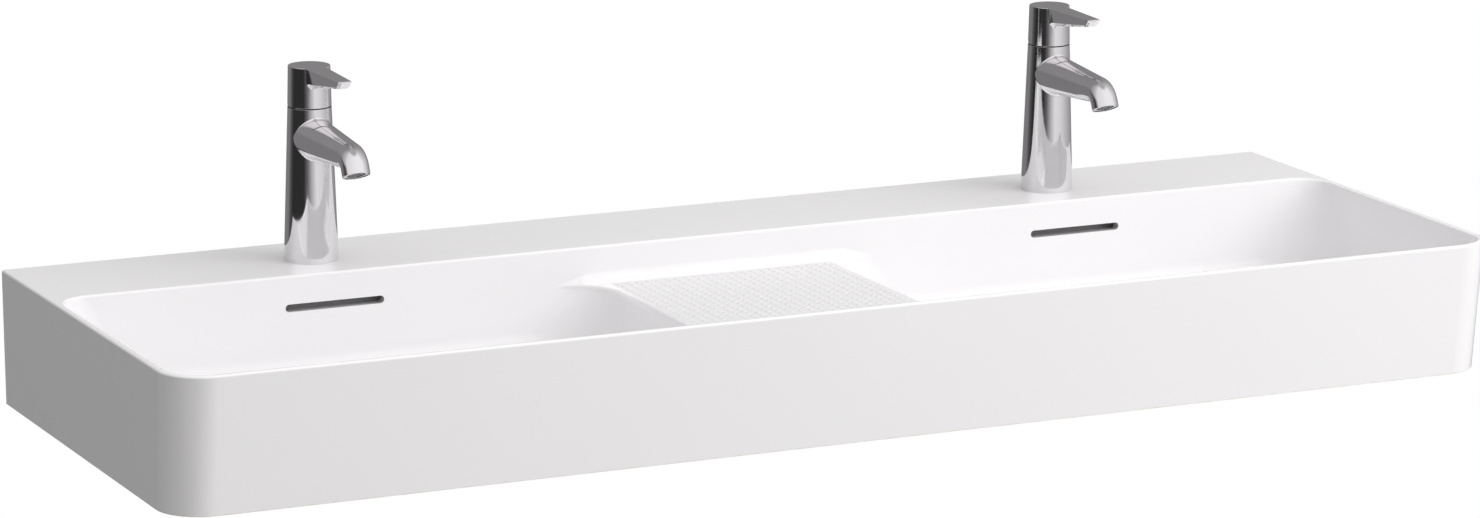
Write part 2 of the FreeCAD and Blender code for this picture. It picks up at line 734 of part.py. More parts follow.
def make_spout(side, spot):
    """The tapering spout on its spigot, and the aerator in its outlet."""
    tube = fuse(f"{side}_spout_tube",
                forward_cone(f"{side}_spout_cone", spot, "spout_root / 2", "spout_tip_radius", "0", "bend_y"),
                spout_bend(f"{side}_spout_curve", spot, "spout_tip_radius"),
                along_outlet(f"{side}_spout_end", spot, "spout_tip_radius", "0", "spout_lip"))
    column = column_cone(f"{side}_column_face", spot)
    spigot = spot.bar_y(f"{side}_spigot", "spigot / 2", "-base_radius - spigot", "-chamber / 2 - part_gap",
                        "0", "spout_height")
    solid = fuse(f"{side}_spout_solid", cut(f"{side}_spout_trim", tube, column), spigot)
    spout = cut(f"{side}_spout_cut", solid,
                spot.bar_y(f"{side}_spigot_bore", "spigot_bore_radius", "-base_radius - spigot", "0",
                           "0", "spout_height"),
                forward_cone(f"{side}_spout_bore", spot, "spigot_bore_radius", "spout_bore_radius",
                             "-base_radius", "bend_y"),
                spout_bend(f"{side}_spout_curve_bore", spot, "spout_bore_radius"),
                along_outlet(f"{side}_spout_end_bore", spot, "spout_bore_radius", "0", "spout_lip + overcut"))
    named(spout, f"{side}_spout")
    end = "spout_lip - aerator_recess"
    shell = cut(f"{side}_aerator_ring",
                along_outlet(f"{side}_aerator_blank", spot, "aerator_radius", "0", end),
                along_outlet(f"{side}_aerator_bore", spot, "aerator_bore", "-overcut", "spout_lip"))
    named(shell, f"{side}_aerator_shell")
    jets = []
    for ring, count in enumerate(JET_RINGS, start=1):
        for k in range(count):
            angle = 2 * math.pi * k / count
            jets.append(along_outlet(f"{side}_jet_{ring}_{k}", spot, "aerator_jet / 2", "-overcut",
                                     "spout_lip", f"{ring} * jet_pitch * {math.cos(angle)}",
                                     f"{ring} * jet_pitch * {math.sin(angle)}"))
    face = f"{end} - aerator_recess"
    insert = along_outlet(f"{side}_aerator_core", spot, "aerator_bore",
                          f"{face} - aerator_insert_height", face)
    named(cut(f"{side}_aerator_cut", insert, *jets), f"{side}_aerator_insert")


def make_clamp(side, spot):
    """The stud, the rubber, the horseshoe plate and the nut that hold the tap to the deck."""
    under = "-deck_thickness"
    rubber_low = f"{under} - clamp_rubber_height"
    plate_low = f"{rubber_low} - clamp_plate_height"
    nut_low = f"{plate_low} - stud_nut_height"
    named(spot.rod(f"{side}_stud_rod", "stud_radius", f"{nut_low} - stud_spare", "stud_boss_low + stud_grip",
                   "0", "stud_back"), f"{side}_mounting_stud")
    for label, low, high in (("clamp_rubber", rubber_low, under), ("clamp_plate", plate_low, rubber_low)):
        name = f"{side}_{label}"
        disc = spot.rod(f"{name}_disc", "clamp / 2", low, high)
        through = (f"{low} - overcut", f"{high} + overcut")
        slot = spot.rod(f"{name}_slot", "clamp_slot / 2", *through, "0", "clamp_slot_y")
        mouth = spot.slab(f"{name}_mouth", "clamp_slot / 2", ("-clamp", "clamp_slot_y"), through)
        hole = spot.rod(f"{name}_hole", "stud_radius + running", *through, "0", "stud_back")
        named(cut(f"{name}_cut", disc, slot, mouth, hole), name)
    nut = spot.hexagon(f"{side}_stud_nut_blank", "stud_radius + stud_nut_wall", nut_low, plate_low,
                       "0", "stud_back")
    hole = spot.rod(f"{side}_stud_nut_hole", "stud_radius", f"{nut_low} - overcut", f"{plate_low} + overcut",
                    "0", "stud_back")
    named(cut(f"{side}_stud_nut_cut", nut, hole), f"{side}_stud_nut")


def make_cartridge(side, spot):
    """The ceramic-disc cartridge: base, discs, housing, retaining nut, carriage, rotor and pivot pin."""
    base = spot.rod(f"{side}_base_blank", "cartridge_radius", "chamber_floor", "base_top")
    holes = inlet_holes(side, spot, "base_inlet", "waterway / 2", "chamber_floor - overcut",
                        "base_top + overcut")
    holes.append(spot.rod(f"{side}_base_outlet", "waterway / 2", "base_drain", "base_top + overcut",
                          "0", "outlet_back"))
    holes.append(spot.bar_y(f"{side}_base_drain", "waterway / 2", "-chamber", "outlet_back", "0",
                            "base_drain"))
    named(cut(f"{side}_base_cut", base, *holes), f"{side}_cartridge_base")

    disc = spot.rod(f"{side}_fixed_blank", "cavity_radius - part_gap", "base_top", "fixed_top")
    through = ("base_top - overcut", "fixed_top + overcut")
    holes = inlet_holes(side, spot, "fixed_inlet", "waterway / 2", *through)
    holes.append(spot.rod(f"{side}_fixed_outlet", "waterway / 2", *through, "0", "outlet_back"))
    named(cut(f"{side}_fixed_cut", disc, *holes), f"{side}_fixed_disc")

    disc = spot.rod(f"{side}_moving_blank", "moving_radius", "fixed_top", "moving_top")
    pocket = spot.slab(f"{side}_moving_pocket", "pocket_half", ("-pocket_front", "pocket_back"),
                       ("fixed_top - overcut", "fixed_top + pocket_depth"))
    named(cut(f"{side}_moving_cut", disc, pocket), f"{side}_moving_disc")

    named(spot.turned(f"{side}_housing_turned", [
        ("cavity_radius", "base_top"), ("cartridge_radius", "base_top"), ("cartridge_radius", "shoulder"),
        ("housing_neck", "shoulder"), ("housing_neck", "tap_body_height - neck_recess"),
        ("rotor_stem + running", "tap_body_height - neck_recess"),
        ("rotor_stem + running", "roof_low"), ("cavity_radius", "roof_low"),
    ]), f"{side}_cartridge_housing")

    nut = spot.ring(f"{side}_nut_ring", "housing_neck + cartridge_clear", "nut_thread_radius - running",
                    "shoulder", "nut_high")
    notch, levels = ("-nut_recess / 2", "nut_recess / 2"), ("nut_high - nut_recess", "nut_high + overcut")
    notches = [spot.slab(f"{side}_nut_notch_x", "nut_thread_radius", notch, levels),
               spot.box(f"{side}_nut_notch_y", notch, ("-nut_thread_radius", "nut_thread_radius"), levels)]
    named(cut(f"{side}_nut_cut", nut, *notches), f"{side}_retaining_nut")

    plate = spot.rod(f"{side}_carriage_plate", "moving_radius", "moving_top", "carriage_top")
    boss = spot.slab(f"{side}_carriage_boss", "spindle_width / 2", ("-carriage_half", "carriage_half"),
                     ("carriage_top", "tip + socket_rise"))
    socket = spot.slab(f"{side}_carriage_socket", "spindle_width", ("-socket_half", "socket_half"),
                       ("tip + socket_rise - socket_depth", "tip + socket_rise + overcut"))
    named(cut(f"{side}_carriage_cut", fuse(f"{side}_carriage_solid", plate, boss), socket),
          f"{side}_disc_carriage")

    flange = spot.rod(f"{side}_rotor_flange", "cavity_radius - part_gap", "flange_low", "flange_high")
    stem = spot.rod(f"{side}_rotor_stem", "rotor_stem", "flange_high", "pivot + rotor_ear")
    window = "disc_slide + carriage_half + part_gap"
    rotor = cut(f"{side}_rotor_cut", fuse(f"{side}_rotor_solid", flange, stem),
                spot.slab(f"{side}_rotor_window", "rotor_slot_half", (f"-({window})", window),
                          ("flange_low - overcut", "flange_high")),
                spot.slab(f"{side}_rotor_slot", "rotor_slot_half", ("-rotor_stem", "rotor_stem"),
                          ("flange_high", "pivot + rotor_ear + overcut")),
                spot.bar_x(f"{side}_pin_hole", "pivot_pin / 2", "rotor_stem", "0", "pivot"))
    named(rotor, f"{side}_rotor")
    named(spot.bar_x(f"{side}_pin", "pivot_pin / 2", "rotor_stem - pin_inset", "0", "pivot"),
          f"{side}_pivot_pin")


def make_lever_stem(side, spot):
    """The spindle that rocks on the pivot pin and pushes the carriage."""
    half = "spindle_width / 2"
    neck = spot.slab(f"{side}_spindle_neck", half, ("-spindle_neck / 2", "spindle_neck / 2"),
                     ("tip", "pivot"))
    top = spot.slab(f"{side}_spindle_shank", half, (f"-{half}", half), ("pivot", "head_low"))
    head = spot.slab(f"{side}_spindle_head", "head_half", ("-head_half", "head_half"),
                     ("head_low", "spindle_high"))
    solid = fuse(f"{side}_spindle_solid", neck, top, head,
                 spot.bar_x(f"{side}_spindle_tip", "spindle_tip / 2", half, "0", "tip"),
                 spot.bar_x(f"{side}_spindle_hub", "pivot_pin / 2 + hub_wall", half, "0", "pivot"))
    bore = spot.bar_x(f"{side}_spindle_bore", "pivot_pin / 2 + running", "spindle_square", "0", "pivot")
    named(cut(f"{side}_spindle_cut", solid, bore), f"{side}_spindle")


def lever_section(body, name, forward, width, depth):
    """A keel-shaped cross section of the lever, hung from the handle's top."""
    sketch = sketch_in(body, name, "XZ_Plane", forward)
    half, keel = f"({width}) / 2", f"({width}) / 2 * lever_keel"
    polygon(sketch, [(f"-({half})", "cap_high"), (f"-({keel})", f"cap_high - ({depth})"),
                     (keel, f"cap_high - ({depth})"), (half, "cap_high")])
    return sketch


def make_handle(side, spot):
    """The cap with its lever, the grub screw that grips the spindle and the plug over it."""
    cap = spot.turned(f"{side}_cap", [
        ("cap_bore_radius", "cap_low"), ("neck_radius", "cap_low"),
        ("crown_radius", "cap_high - handle_bevel"), ("crown_radius - handle_bevel", "cap_high"),
        ("0", "cap_high"), ("0", "pivot + handle_boss_rise"),
        ("handle_boss_radius", "pivot + handle_boss_rise"), ("handle_boss_radius", "cavity_high"),
        ("cap_bore_radius", "cavity_high"),
    ])
    lever = doc.addObject("PartDesign::Body", f"{side}_lever")
    slope = "(lever_root_depth - lever_tip_depth) / (lever_reach - crown_radius)"
    sections = [
        lever_section(lever, f"{side}_lever_root", "cap_bore_radius", "lever_root_width + lever_flare",
                      "lever_root_depth + lever_flare"),
        lever_section(lever, f"{side}_lever_neck", "crown_radius + lever_flare", "lever_root_width",
                      f"lever_root_depth - lever_flare * {slope}"),
        lever_section(lever, f"{side}_lever_end", "lever_reach - lever_facet", "lever_tip_width",
                      "lever_tip_depth"),
        lever_section(lever, f"{side}_lever_lip", "lever_reach", "lever_tip_width - handle_bevel",
                      "2 * handle_bevel"),
    ]
    doc.recompute()
    loft = lever.newObject("PartDesign::AdditiveLoft", f"{side}_lever_loft")
    loft.Profile = sections[0]
    loft.Sections = sections[1:]
    loft.Ruled = True
    doc.recompute()
    spot.put(lever)
    rib = spot.slab(f"{side}_grub_rib", "grub_rib / 2", ("head_half + running", "cap_bore_radius + running"),
                    ("grub_height - grub_rib / 2", "cavity_high + running"))
    # The rear of the cap's lower edge slopes up, so that the cap can rock back over the body
    wedge = doc.addObject("PartDesign::Body", f"{side}_rock_wedge")
    sketch = sketch_in(wedge, f"{side}_rock_profile", "YZ_Plane")
    rise = "tan(tilt_max)"
    low = "pivot - (handle_gap / 2 - part_gap) / cos(tilt_max)"
    polygon(sketch, [("0", low), ("tap_base", f"{low} + tap_base * {rise}"),
                     ("tap_base", f"{low} - tap_base"), ("0", f"{low} - tap_base")])
    doc.recompute()
    pad = wedge.newObject("PartDesign::Pad", f"{side}_rock_pad")
    pad.Profile = sketch
    pad.SideType = "Symmetric"
    bind(pad, {"Length": "2 * tap_base"})
    doc.recompute()
    spot.put(wedge)
    square = "head_half + running"
    socket = spot.slab(f"{side}_socket", square, (f"-({square})", square),
                       ("pivot", "spindle_high + part_gap"))
    grub_start = "head_half + running"
    plug_start = "crown_radius - index_plug_length - part_gap"
    grub_hole = spot.bar_y(f"{side}_grub_hole", "grub / 2", "0", "tap_base", "0", "grub_height")
    plug_hole = spot.bar_y(f"{side}_plug_hole", "index_plug / 2", plug_start, "tap_base", "0", "grub_height")
    handle = cut(f"{side}_handle_cut", fuse(f"{side}_handle_solid", cap, lever, rib), wedge, socket,
                 grub_hole, plug_hole)
    named(handle, f"{side}_handle")
    named(spot.bar_y(f"{side}_grub", "grub / 2", grub_start, f"{grub_start} + grub_length",
                     "0", "grub_height"), f"{side}_handle_screw")
    named(spot.bar_y(f"{side}_plug", "index_plug / 2", plug_start, f"{plug_start} + index_plug_length",
                     "0", "grub_height"), f"{side}_index_plug")


def make_waste(side):
    """One push-open waste: flanged body, seals, back nut, latch and plug."""
    spot = Spot(f"{side}_x", "drain_y", "floor_z")
    named(spot.ring(f"{side}_flange_ring", "waste_radius", "flange_radius", "seat_level", "flange_low_level"),
          f"{side}_flange_seal")
    tube = spot.turned(f"{side}_waste_tube", [
        ("waste_bore_radius", "tail_low"), ("waste_radius", "tail_low"), ("waste_radius", "tail_high"),
        ("waste_radius - thread_relief", "tail_high"), ("waste_radius - thread_relief", "back_nut_low"),
        ("waste_radius", "back_nut_low"), ("waste_radius", "flange_low_level"),
        ("flange_radius", "flange_low_level"), ("flange_radius", "0"), ("waste_bore_radius", "0")])
    hub = spot.rod(f"{side}_spider_hub", "latch / 2 + spider_wall", "spider_low", "spider_high")
    reach, levels = "waste_bore_radius + waste_wall / 2", ("spider_low", "spider_high")
    arms = [spot.slab(f"{side}_spider_y", "spider_arm / 2", (f"-({reach})", reach), levels),
            spot.slab(f"{side}_spider_x", reach, ("-spider_arm / 2", "spider_arm / 2"), levels)]
    window = spot.slab(f"{side}_overflow_window", "overflow_window / 2",
                       ("waste_bore_radius / 2", "waste_thread"),
                       ("duct_low_z - floor_z", "floor_under_z - floor_z"))
    latch_hole = spot.rod(f"{side}_latch_hole", "latch / 2", "spider_low - overcut", "spider_high + overcut")
    named(cut(f"{side}_waste_cut", fuse(f"{side}_waste_solid", tube, hub, *arms), window, latch_hole),
          f"{side}_waste_body")
    named(spot.ring(f"{side}_under_ring", "waste_radius", "under_seal_radius",
                    "under_seal_low", "bottom_level"), f"{side}_under_seal")
    nut = spot.hexagon(f"{side}_back_nut_blank", "waste_radius + back_nut_wall",
                       "back_nut_low", "under_seal_low")
    hole = spot.rod(f"{side}_back_nut_hole", "waste_radius",
                    "back_nut_low - overcut", "under_seal_low + overcut")
    named(cut(f"{side}_back_nut_cut", nut, hole), f"{side}_back_nut")

    latch = spot.rod(f"{side}_latch_blank", "latch / 2", "latch_low", "latch_high")
    bore = spot.rod(f"{side}_latch_bore", "plug_stem_radius + running", "stem_low - part_gap",
                    "latch_high + overcut")
    named(cut(f"{side}_latch_cut", latch, bore), f"{side}_latch_sleeve")
    named(spot.rod(f"{side}_stem", "plug_stem_radius", "stem_low", "part_gap"), f"{side}_plug_stem")
    cap_edge = "plug_cap_radius - plug_edge"
    named(spot.turned(f"{side}_cap_turned", [
        ("plug_stem_radius", "plug_boss_low"), ("plug_boss_radius", "plug_boss_low"),
        ("plug_boss_radius", "part_gap"), (cap_edge, "part_gap"), ("plug_cap_radius", "part_gap + plug_edge"),
        (cap_edge, "part_gap + plug_cap_height"), ("0", "part_gap + plug_cap_height"), ("0", "part_gap"),
        ("plug_stem_radius", "part_gap")]), f"{side}_plug_cap")
    named(spot.ring(f"{side}_plug_ring", "plug_boss_radius", "waste_bore_radius - part_gap",
                    "part_gap - plug_seal_height", "part_gap"), f"{side}_plug_seal")


PARTS = []
named(make_basin(), "basin")
for hand in ("left", "right"):
    make_tap(hand)
    make_waste(hand)
doc.recompute()

for item in doc.Objects:
    if "Invalid" in item.State or "Error" in item.State:
        raise RuntimeError(f"{item.Label} failed: {item.State}")
for part in PARTS:
    if part.Shape.isNull() or not part.Shape.isValid():
        raise RuntimeError(f"{part.Label} has no valid shape")

os.makedirs("parts", exist_ok=True)
for part in PARTS:
    part.Shape.exportStep(f"parts/{part.Label}.step")
    print(part.Label, len(part.Shape.Solids), round(part.Shape.Volume / 1000.0, 1), "cm3")
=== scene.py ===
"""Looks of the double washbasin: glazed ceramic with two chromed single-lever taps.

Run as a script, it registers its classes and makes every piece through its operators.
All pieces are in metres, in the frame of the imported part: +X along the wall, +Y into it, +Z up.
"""
import math

import bmesh
import bpy
from bpy.props import FloatProperty, FloatVectorProperty, IntProperty, PointerProperty
from mathutils import Euler, Matrix, Vector


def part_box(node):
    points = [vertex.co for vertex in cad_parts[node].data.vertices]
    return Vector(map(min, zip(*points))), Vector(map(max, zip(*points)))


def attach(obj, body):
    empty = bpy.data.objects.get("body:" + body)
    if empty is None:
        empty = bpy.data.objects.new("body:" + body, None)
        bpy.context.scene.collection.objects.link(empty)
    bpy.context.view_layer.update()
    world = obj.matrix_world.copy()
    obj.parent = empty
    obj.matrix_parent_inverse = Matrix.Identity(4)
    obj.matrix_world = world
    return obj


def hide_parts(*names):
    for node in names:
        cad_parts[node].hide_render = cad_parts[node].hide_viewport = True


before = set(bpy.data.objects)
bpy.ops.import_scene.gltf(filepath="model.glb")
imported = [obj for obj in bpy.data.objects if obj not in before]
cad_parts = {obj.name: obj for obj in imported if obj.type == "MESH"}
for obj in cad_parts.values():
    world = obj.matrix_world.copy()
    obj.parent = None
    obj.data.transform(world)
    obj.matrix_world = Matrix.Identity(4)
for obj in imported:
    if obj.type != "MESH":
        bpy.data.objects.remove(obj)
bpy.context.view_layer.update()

bl_info = {
    "name": "Double washbasin",
    "version": (1, 0, 0),
    "blender": (4, 5, 0),
    "location": "3D View > Sidebar > Washbasin",
    "description": "Makes the ceramic, taps, wastes and studio of a wall-hung double washbasin",
    "category": "Object",
}

SIDES = ("left", "right")
MM = 0.001

BODY_LOW, BODY_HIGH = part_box("left_tap_body")
HANDLE_LOW, HANDLE_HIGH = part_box("left_handle")

# Where the ceramic's finish changes, or where shade is painted on it: ranges of distance from the middle
# plane, depth and height
SHELF_TOP = ((-0.104, 0.104), (-0.4000, -0.1310), (0.0280, 0.0300))
# The overflow channels, where a grey is painted over the glaze as shade
OVERFLOW_CHANNEL = ((0.2995, 0.4005), (-0.1195, -0.1025), (-0.0600, 0.0395))

# Where the glaze gives way to bare clay: near the wall face and at the foot
BARE_EDGES = (("Y", -0.0016, -0.0008), ("Z", -0.0541, -0.0547))

# Where most of the noise lies
NOISE_RANGE = (0.3, 0.7)

# Tint of the studio's walls
WALL_TINT = (1.01, 0.985, 1.0)

# Heights between which the studio's look changes, as sines of the elevation
CEILING = (0.08, 0.62)
MIRRORED_UPPER_WALLS = (0.02, 0.25)
MIRRORED_CEILING = (0.90, 0.99)

# Points nearer than this are merged
MERGED = 1e-6
MERGED_COPY = 2e-6

# Edges flatter than this are shaded smooth
SMOOTH_COPY = math.radians(38)
SMOOTH_TURNED = math.radians(35)
SMOOTH_HANDLE = math.radians(33)
SMOOTH_FILLET = math.radians(50)


# Settings


def amount(name, description, default):
    """A plain number."""
    return FloatProperty(name=name, description=description, default=default)


def length(name, description, default):
    """A size in metres."""
    return FloatProperty(name=name, description=description, default=default, unit="LENGTH", precision=5)


def angle(name, description, degrees):
    """An angle, given in degrees."""
    return FloatProperty(name=name, description=description, default=math.radians(degrees), subtype="ANGLE")


def point(name, description, default):
    """A place in metres."""
    return FloatVectorProperty(name=name, description=description, default=default, subtype="TRANSLATION",
                               unit="LENGTH")


def colour(name, description, default):
    """A linear colour."""
    return FloatVectorProperty(name=name, description=description, default=default, subtype="COLOR",
                               size=3, min=0.0, max=1.0)


class StageSettings(bpy.types.PropertyGroup):
    """The camera, the floor and the studio's light."""

    camera_place: point("Camera place", "Where the camera stands", (-2.038896, -4.479553, 1.122135))
    camera_turn: angle("Camera turn", "Turn about the upright axis, from facing the wall", -25.31)
    camera_tilt: angle("Camera tilt", "How far the camera looks down", 12.687)
    camera_roll: angle("Camera roll", "Turn about the line of sight", 0.25)
    lens: FloatProperty(name="Focal length", description="For a 36 mm wide sensor", default=139.85,
                        subtype="DISTANCE_CAMERA")
    floor_level: length("Floor level", "Height of the floor above the fixing holes", -0.85)
    floor_radius: length("Floor radius", "Radius of the round floor", 60.0)
    # The floor glows as a painted pool of light: dim at the left, bright at the front
    floor_dark: amount("Dark floor", "Light that the floor sends back at the left", 0.08)
    floor_lit: amount("Lit floor", "Light that the floor sends back at the front", 0.84)
    dark_side: amount("Dark side", "Light from the dark left of the studio", 0.18)
    behind: amount("Behind", "Light from behind the wall", 0.25)
    open_side: amount("Open side", "Light from the front and the right", 1.1)
    grey_side: amount("Grey side", "Light from the far right of the studio", 0.42)
    overhead: amount("Overhead", "Light from the ceiling", 1.10)
    backdrop: amount("Backdrop", "Shade of the studio where the camera sees it", 0.94)
    mirror_dark: amount("Mirrored dark", "Dark left side, as metal mirrors it", 0.03)
    mirror_bright: amount("Mirrored front", "Bright front, as metal mirrors it", 1.0)
    mirror_rear: amount("Mirrored rear", "Grey rear, as metal mirrors it", 0.215)
    mirror_top: amount("Mirrored top", "Ceiling, as metal mirrors it", 0.45)
    key_power: FloatProperty(name="Key light", description="Power of the softbox at the right", default=47.0,
                             subtype="POWER", unit="POWER")
    key_size: length("Key size", "Side of the square softbox", 2.4)
    key_place: point("Key place", "Where the softbox stands", (1.6, -1.9, 1.7))


class CeramicSettings(bpy.types.PropertyGroup):
    """The ceramic's glaze and the studs of its shelf."""

    glaze: colour("Glaze", "Colour of the white glaze", (0.80, 0.790, 0.798))
    bisque: colour("Bisque", "Colour of the bare fired clay", (0.72, 0.69, 0.64))
    bisque_roughness: amount("Bisque roughness", "Roughness of the bare fired clay", 0.85)
    # Unglazed clay inside the overflow channels, darkened to a grey as painted shade
    channel: colour("Channel", "Colour of the unglazed overflow channels", (0.52, 0.51, 0.52))
    # The shelf's matt glaze, its colour darkened from the white glaze as painted shade
    shelf: colour("Shelf", "Colour of the matt glaze on the studded shelf", (0.69, 0.681, 0.689))
    shelf_roughness: amount("Shelf roughness", "Roughness of the studded glaze", 0.5)
    shelf_height: length("Shelf height", "Height of the shelf's flat top", 29.0 * MM)
    stud_pitch: length("Stud pitch", "Distance between the shelf's studs", 8.9 * MM)
    stud_radius: length("Stud radius", "Radius of one stud", 2.6 * MM)
    stud_rise: length("Stud rise", "Height of one stud above the shelf", 0.55 * MM)
    field_width: length("Studded width", "Width of the studded field", 195.8 * MM)
    field_front: length("Studded front", "Front edge of the studded field", -395.1 * MM)
    field_back: length("Studded back", "Rear edge of the studded field", -137.0 * MM)


class TapSettings(bpy.types.PropertyGroup):
    """The turned, bent and cast chrome of one tap; heights are above the deck."""

    chrome: colour("Chrome", "Colour of the polished plating", (0.83, 0.822, 0.835))
    segments: IntProperty(name="Segments", description="Faces round a turned piece", default=128, min=16)
    base_radius: length("Base radius", "Radius of the body at the deck", (BODY_HIGH.x - BODY_LOW.x) / 2)
    neck_radius: length("Neck radius", "Radius of the body at its top", 18.5 * MM)
    body_height: length("Body height", "Height of the body", BODY_HIGH.z - BODY_LOW.z)
    edge_round: length("Edge round", "Radius of the body's edges", 0.15 * MM)
    # A thin black ring on the body's end face, as painted shade in the gap under the cap
    gap_shade_ring: length("Slip ring", "Thickness of the dark ring on the body's end face", 0.15 * MM)
    chamber_radius: length("Chamber radius", "Radius of the cartridge's chamber", 14.0 * MM)
    thread_radius: length("Thread radius", "Radius of the nut's thread", 15.5 * MM)
    shoulder: length("Shoulder height", "Height where the nut's thread starts", 120.5 * MM)
    plate_top: length("Plate top", "Height of the chamber's floor", 95.2 * MM)
    plate_low: length("Plate underside", "Height of the hoses' hollow", 84.2 * MM)
    wall: length("Wall", "Thickness of the body's wall round the hollow", 4.0 * MM)
    port_radius: length("Port radius", "Radius of the two water inlets", 3.5 * MM)
    port_spread: length("Port spread", "Distance between the two water inlets", 10.4 * MM)
    port_forward: length("Port offset", "How far the inlets are in front of the axis", 3.9 * MM)
    spout_height: length("Spout height", "Height of the spout's line", 105.5 * MM)
    spout_root: length("Spout root", "Radius of the spout at the body's axis", 18.25 * MM)
    spout_tip: length("Spout tip", "Radius of the spout at its bend", 11.75 * MM)
    spout_run: length("Spout run", "Length of the straight run, from the axis", 89.85 * MM)
    spout_bend_radius: length("Bend radius", "Radius of the spout's bend", 14.0 * MM)
    spout_bend: angle("Bend", "How far the outlet turns down", 65.0)
    spout_lip: length("Lip", "Straight length after the bend", 7.0 * MM)
    spout_bore: length("Spout bore", "Radius of the outlet's bore", 9.55 * MM)
    lip_wall: length("Lip wall", "Wall of the outlet's lip", 0.6 * MM)
    lip_depth: length("Lip depth", "Depth of the groove between the outlet's lip and the aerator", 3 * MM)
    root_fillet: length("Root fillet", "Radius of the fillet round the spout's root", 2.3 * MM)
    cap_gap: length("Cap gap", "Gap between the body and the handle's cap", 0.9 * MM)
    crown_radius: length("Crown radius", "Radius of the cap at its top", 17.75 * MM)
    cap_bore: length("Cap bore", "Radius of the cap's hollow", 14.5 * MM)
    cap_roof: length("Cap roof", "Thickness of the cap's top", 9.5 * MM)
    cap_round: length("Cap round", "Radius of the cap's edges", 0.5 * MM)
    rock_angle: angle("Rocking angle", "Slope of the cap's lower edge at the rear", 20.0)
    rock_height: length("Rocking height", "Height where that slope meets the axis", 130.97 * MM)
    lever_width: length("Lever width", "Width of the lever at its root", 18.5 * MM)
    lever_tip_width: length("Lever tip width", "Width of the lever at its tip", 13.0 * MM)
    lever_depth: length("Lever depth", "Depth of the lever at its root", 16.0 * MM)
    lever_tip_depth: length("Lever tip depth", "Depth of the lever at its tip", 6.0 * MM)
    lever_keel: amount("Keel", "Width of the lever's underside against its top", 0.5)
    lever_flare: length("Lever flare", "Radius of the fillet at the lever's root", 3.5 * MM)
    lever_facet: length("Lever facet", "Length of the slanted tip", 4.5 * MM)


class WasteSettings(bpy.types.PropertyGroup):
    """The push-open wastes in the bowls."""

    dome: length("Dome", "How far the plug's cover crowns", 0.9 * MM)
    edge: length("Edge", "Radius of the cover's edge", 1.4 * MM)
    boss_radius: length("Boss radius", "Radius of the boss under the cover", 14.0 * MM)
    cover_thickness: length("Cover thickness", "Thickness of the cover", 4.0 * MM)


# Nodes


def add_node(tree, kind, inputs=None, **settings):
    """A node with its settings, and with inputs set to values or joined to other nodes' outputs."""
    node = tree.nodes.new(kind)
    for name, value in settings.items():
        setattr(node, name, value)
    for title, given in (inputs or {}).items():
        if isinstance(given, bpy.types.NodeSocket):
            tree.links.new(given, node.inputs[title])
        else:
            node.inputs[title].default_value = given
    return node


def worked_out(tree, operation, *values):
    """The result of a Math node on values or other nodes' outputs."""
    return add_node(tree, "ShaderNodeMath", dict(enumerate(values)), operation=operation).outputs["Value"]


def ranged(tree, value, start, end, low=0.0, high=1.0, curve="LINEAR"):
    """A value that goes from low to high as another goes from start to end."""
    inputs = {"Value": value, "From Min": start, "From Max": end, "To Min": low, "To Max": high}
    return add_node(tree, "ShaderNodeMapRange", inputs, interpolation_type=curve).outputs["Result"]


def mixed(tree, factor, first, second, kind="RGBA"):
    """Two colours or values mixed by a factor."""
    inputs = {"Factor": factor, "A": first, "B": second}
    return add_node(tree, "ShaderNodeMix", inputs, data_type=kind).outputs["Result"]


def noise(tree, scale, detail):
    """Noise by the place in the part's frame."""
    place = add_node(tree, "ShaderNodeTexCoord").outputs["Object"]
    inputs = {"Vector": place, "Scale": scale, "Detail": detail}
    return add_node(tree, "ShaderNodeTexNoise", inputs).outputs["Fac"]


def opaque(shade):
    """A colour with full alpha."""
    return (*shade, 1.0)


def grey(shade):
    """A grey with full alpha."""
    return (shade, shade, shade, 1.0)


def new_group(name, inputs, output):
    """An empty shader node group with named inputs and one output."""
    group = bpy.data.node_groups.new(name, "ShaderNodeTree")
    for title, default in inputs.items():
        socket = group.interface.new_socket(title, in_out="INPUT", socket_type="NodeSocketFloat")
        socket.default_value = default
    group.interface.new_socket(output, in_out="OUTPUT", socket_type="NodeSocketFloat")
    return group, add_node(group, "NodeGroupInput").outputs


def cloudy_group():
    """Slow variation over a surface, spread between two values."""
    name = "Cloudy variation"
    if name in bpy.data.node_groups:
        return bpy.data.node_groups[name]
    group, given = new_group(name, {"Scale": 20.0, "Detail": 3.0, "Low": 0.0, "High": 1.0}, "Value")
    cloud = noise(group, given["Scale"], given["Detail"])
    value = ranged(group, cloud, *NOISE_RANGE, given["Low"], given["High"])
    add_node(group, "NodeGroupOutput", {"Value": value})
    return group


def ripple_group():
    """Height of a skin that is wavy in the large and pitted in the small."""
    name = "Rippled skin"
    if name in bpy.data.node_groups:
        return bpy.data.node_groups[name]
    group, given = new_group(name, {"Wave scale": 25.0, "Pit scale": 900.0, "Pits": 0.15}, "Height")
    wave = noise(group, given["Wave scale"], 1.0)
    pits = noise(group, given["Pit scale"], 2.0)
    height = worked_out(group, "MULTIPLY_ADD", pits, given["Pits"], wave)
    add_node(group, "NodeGroupOutput", {"Height": height})
    return group


# Finishes


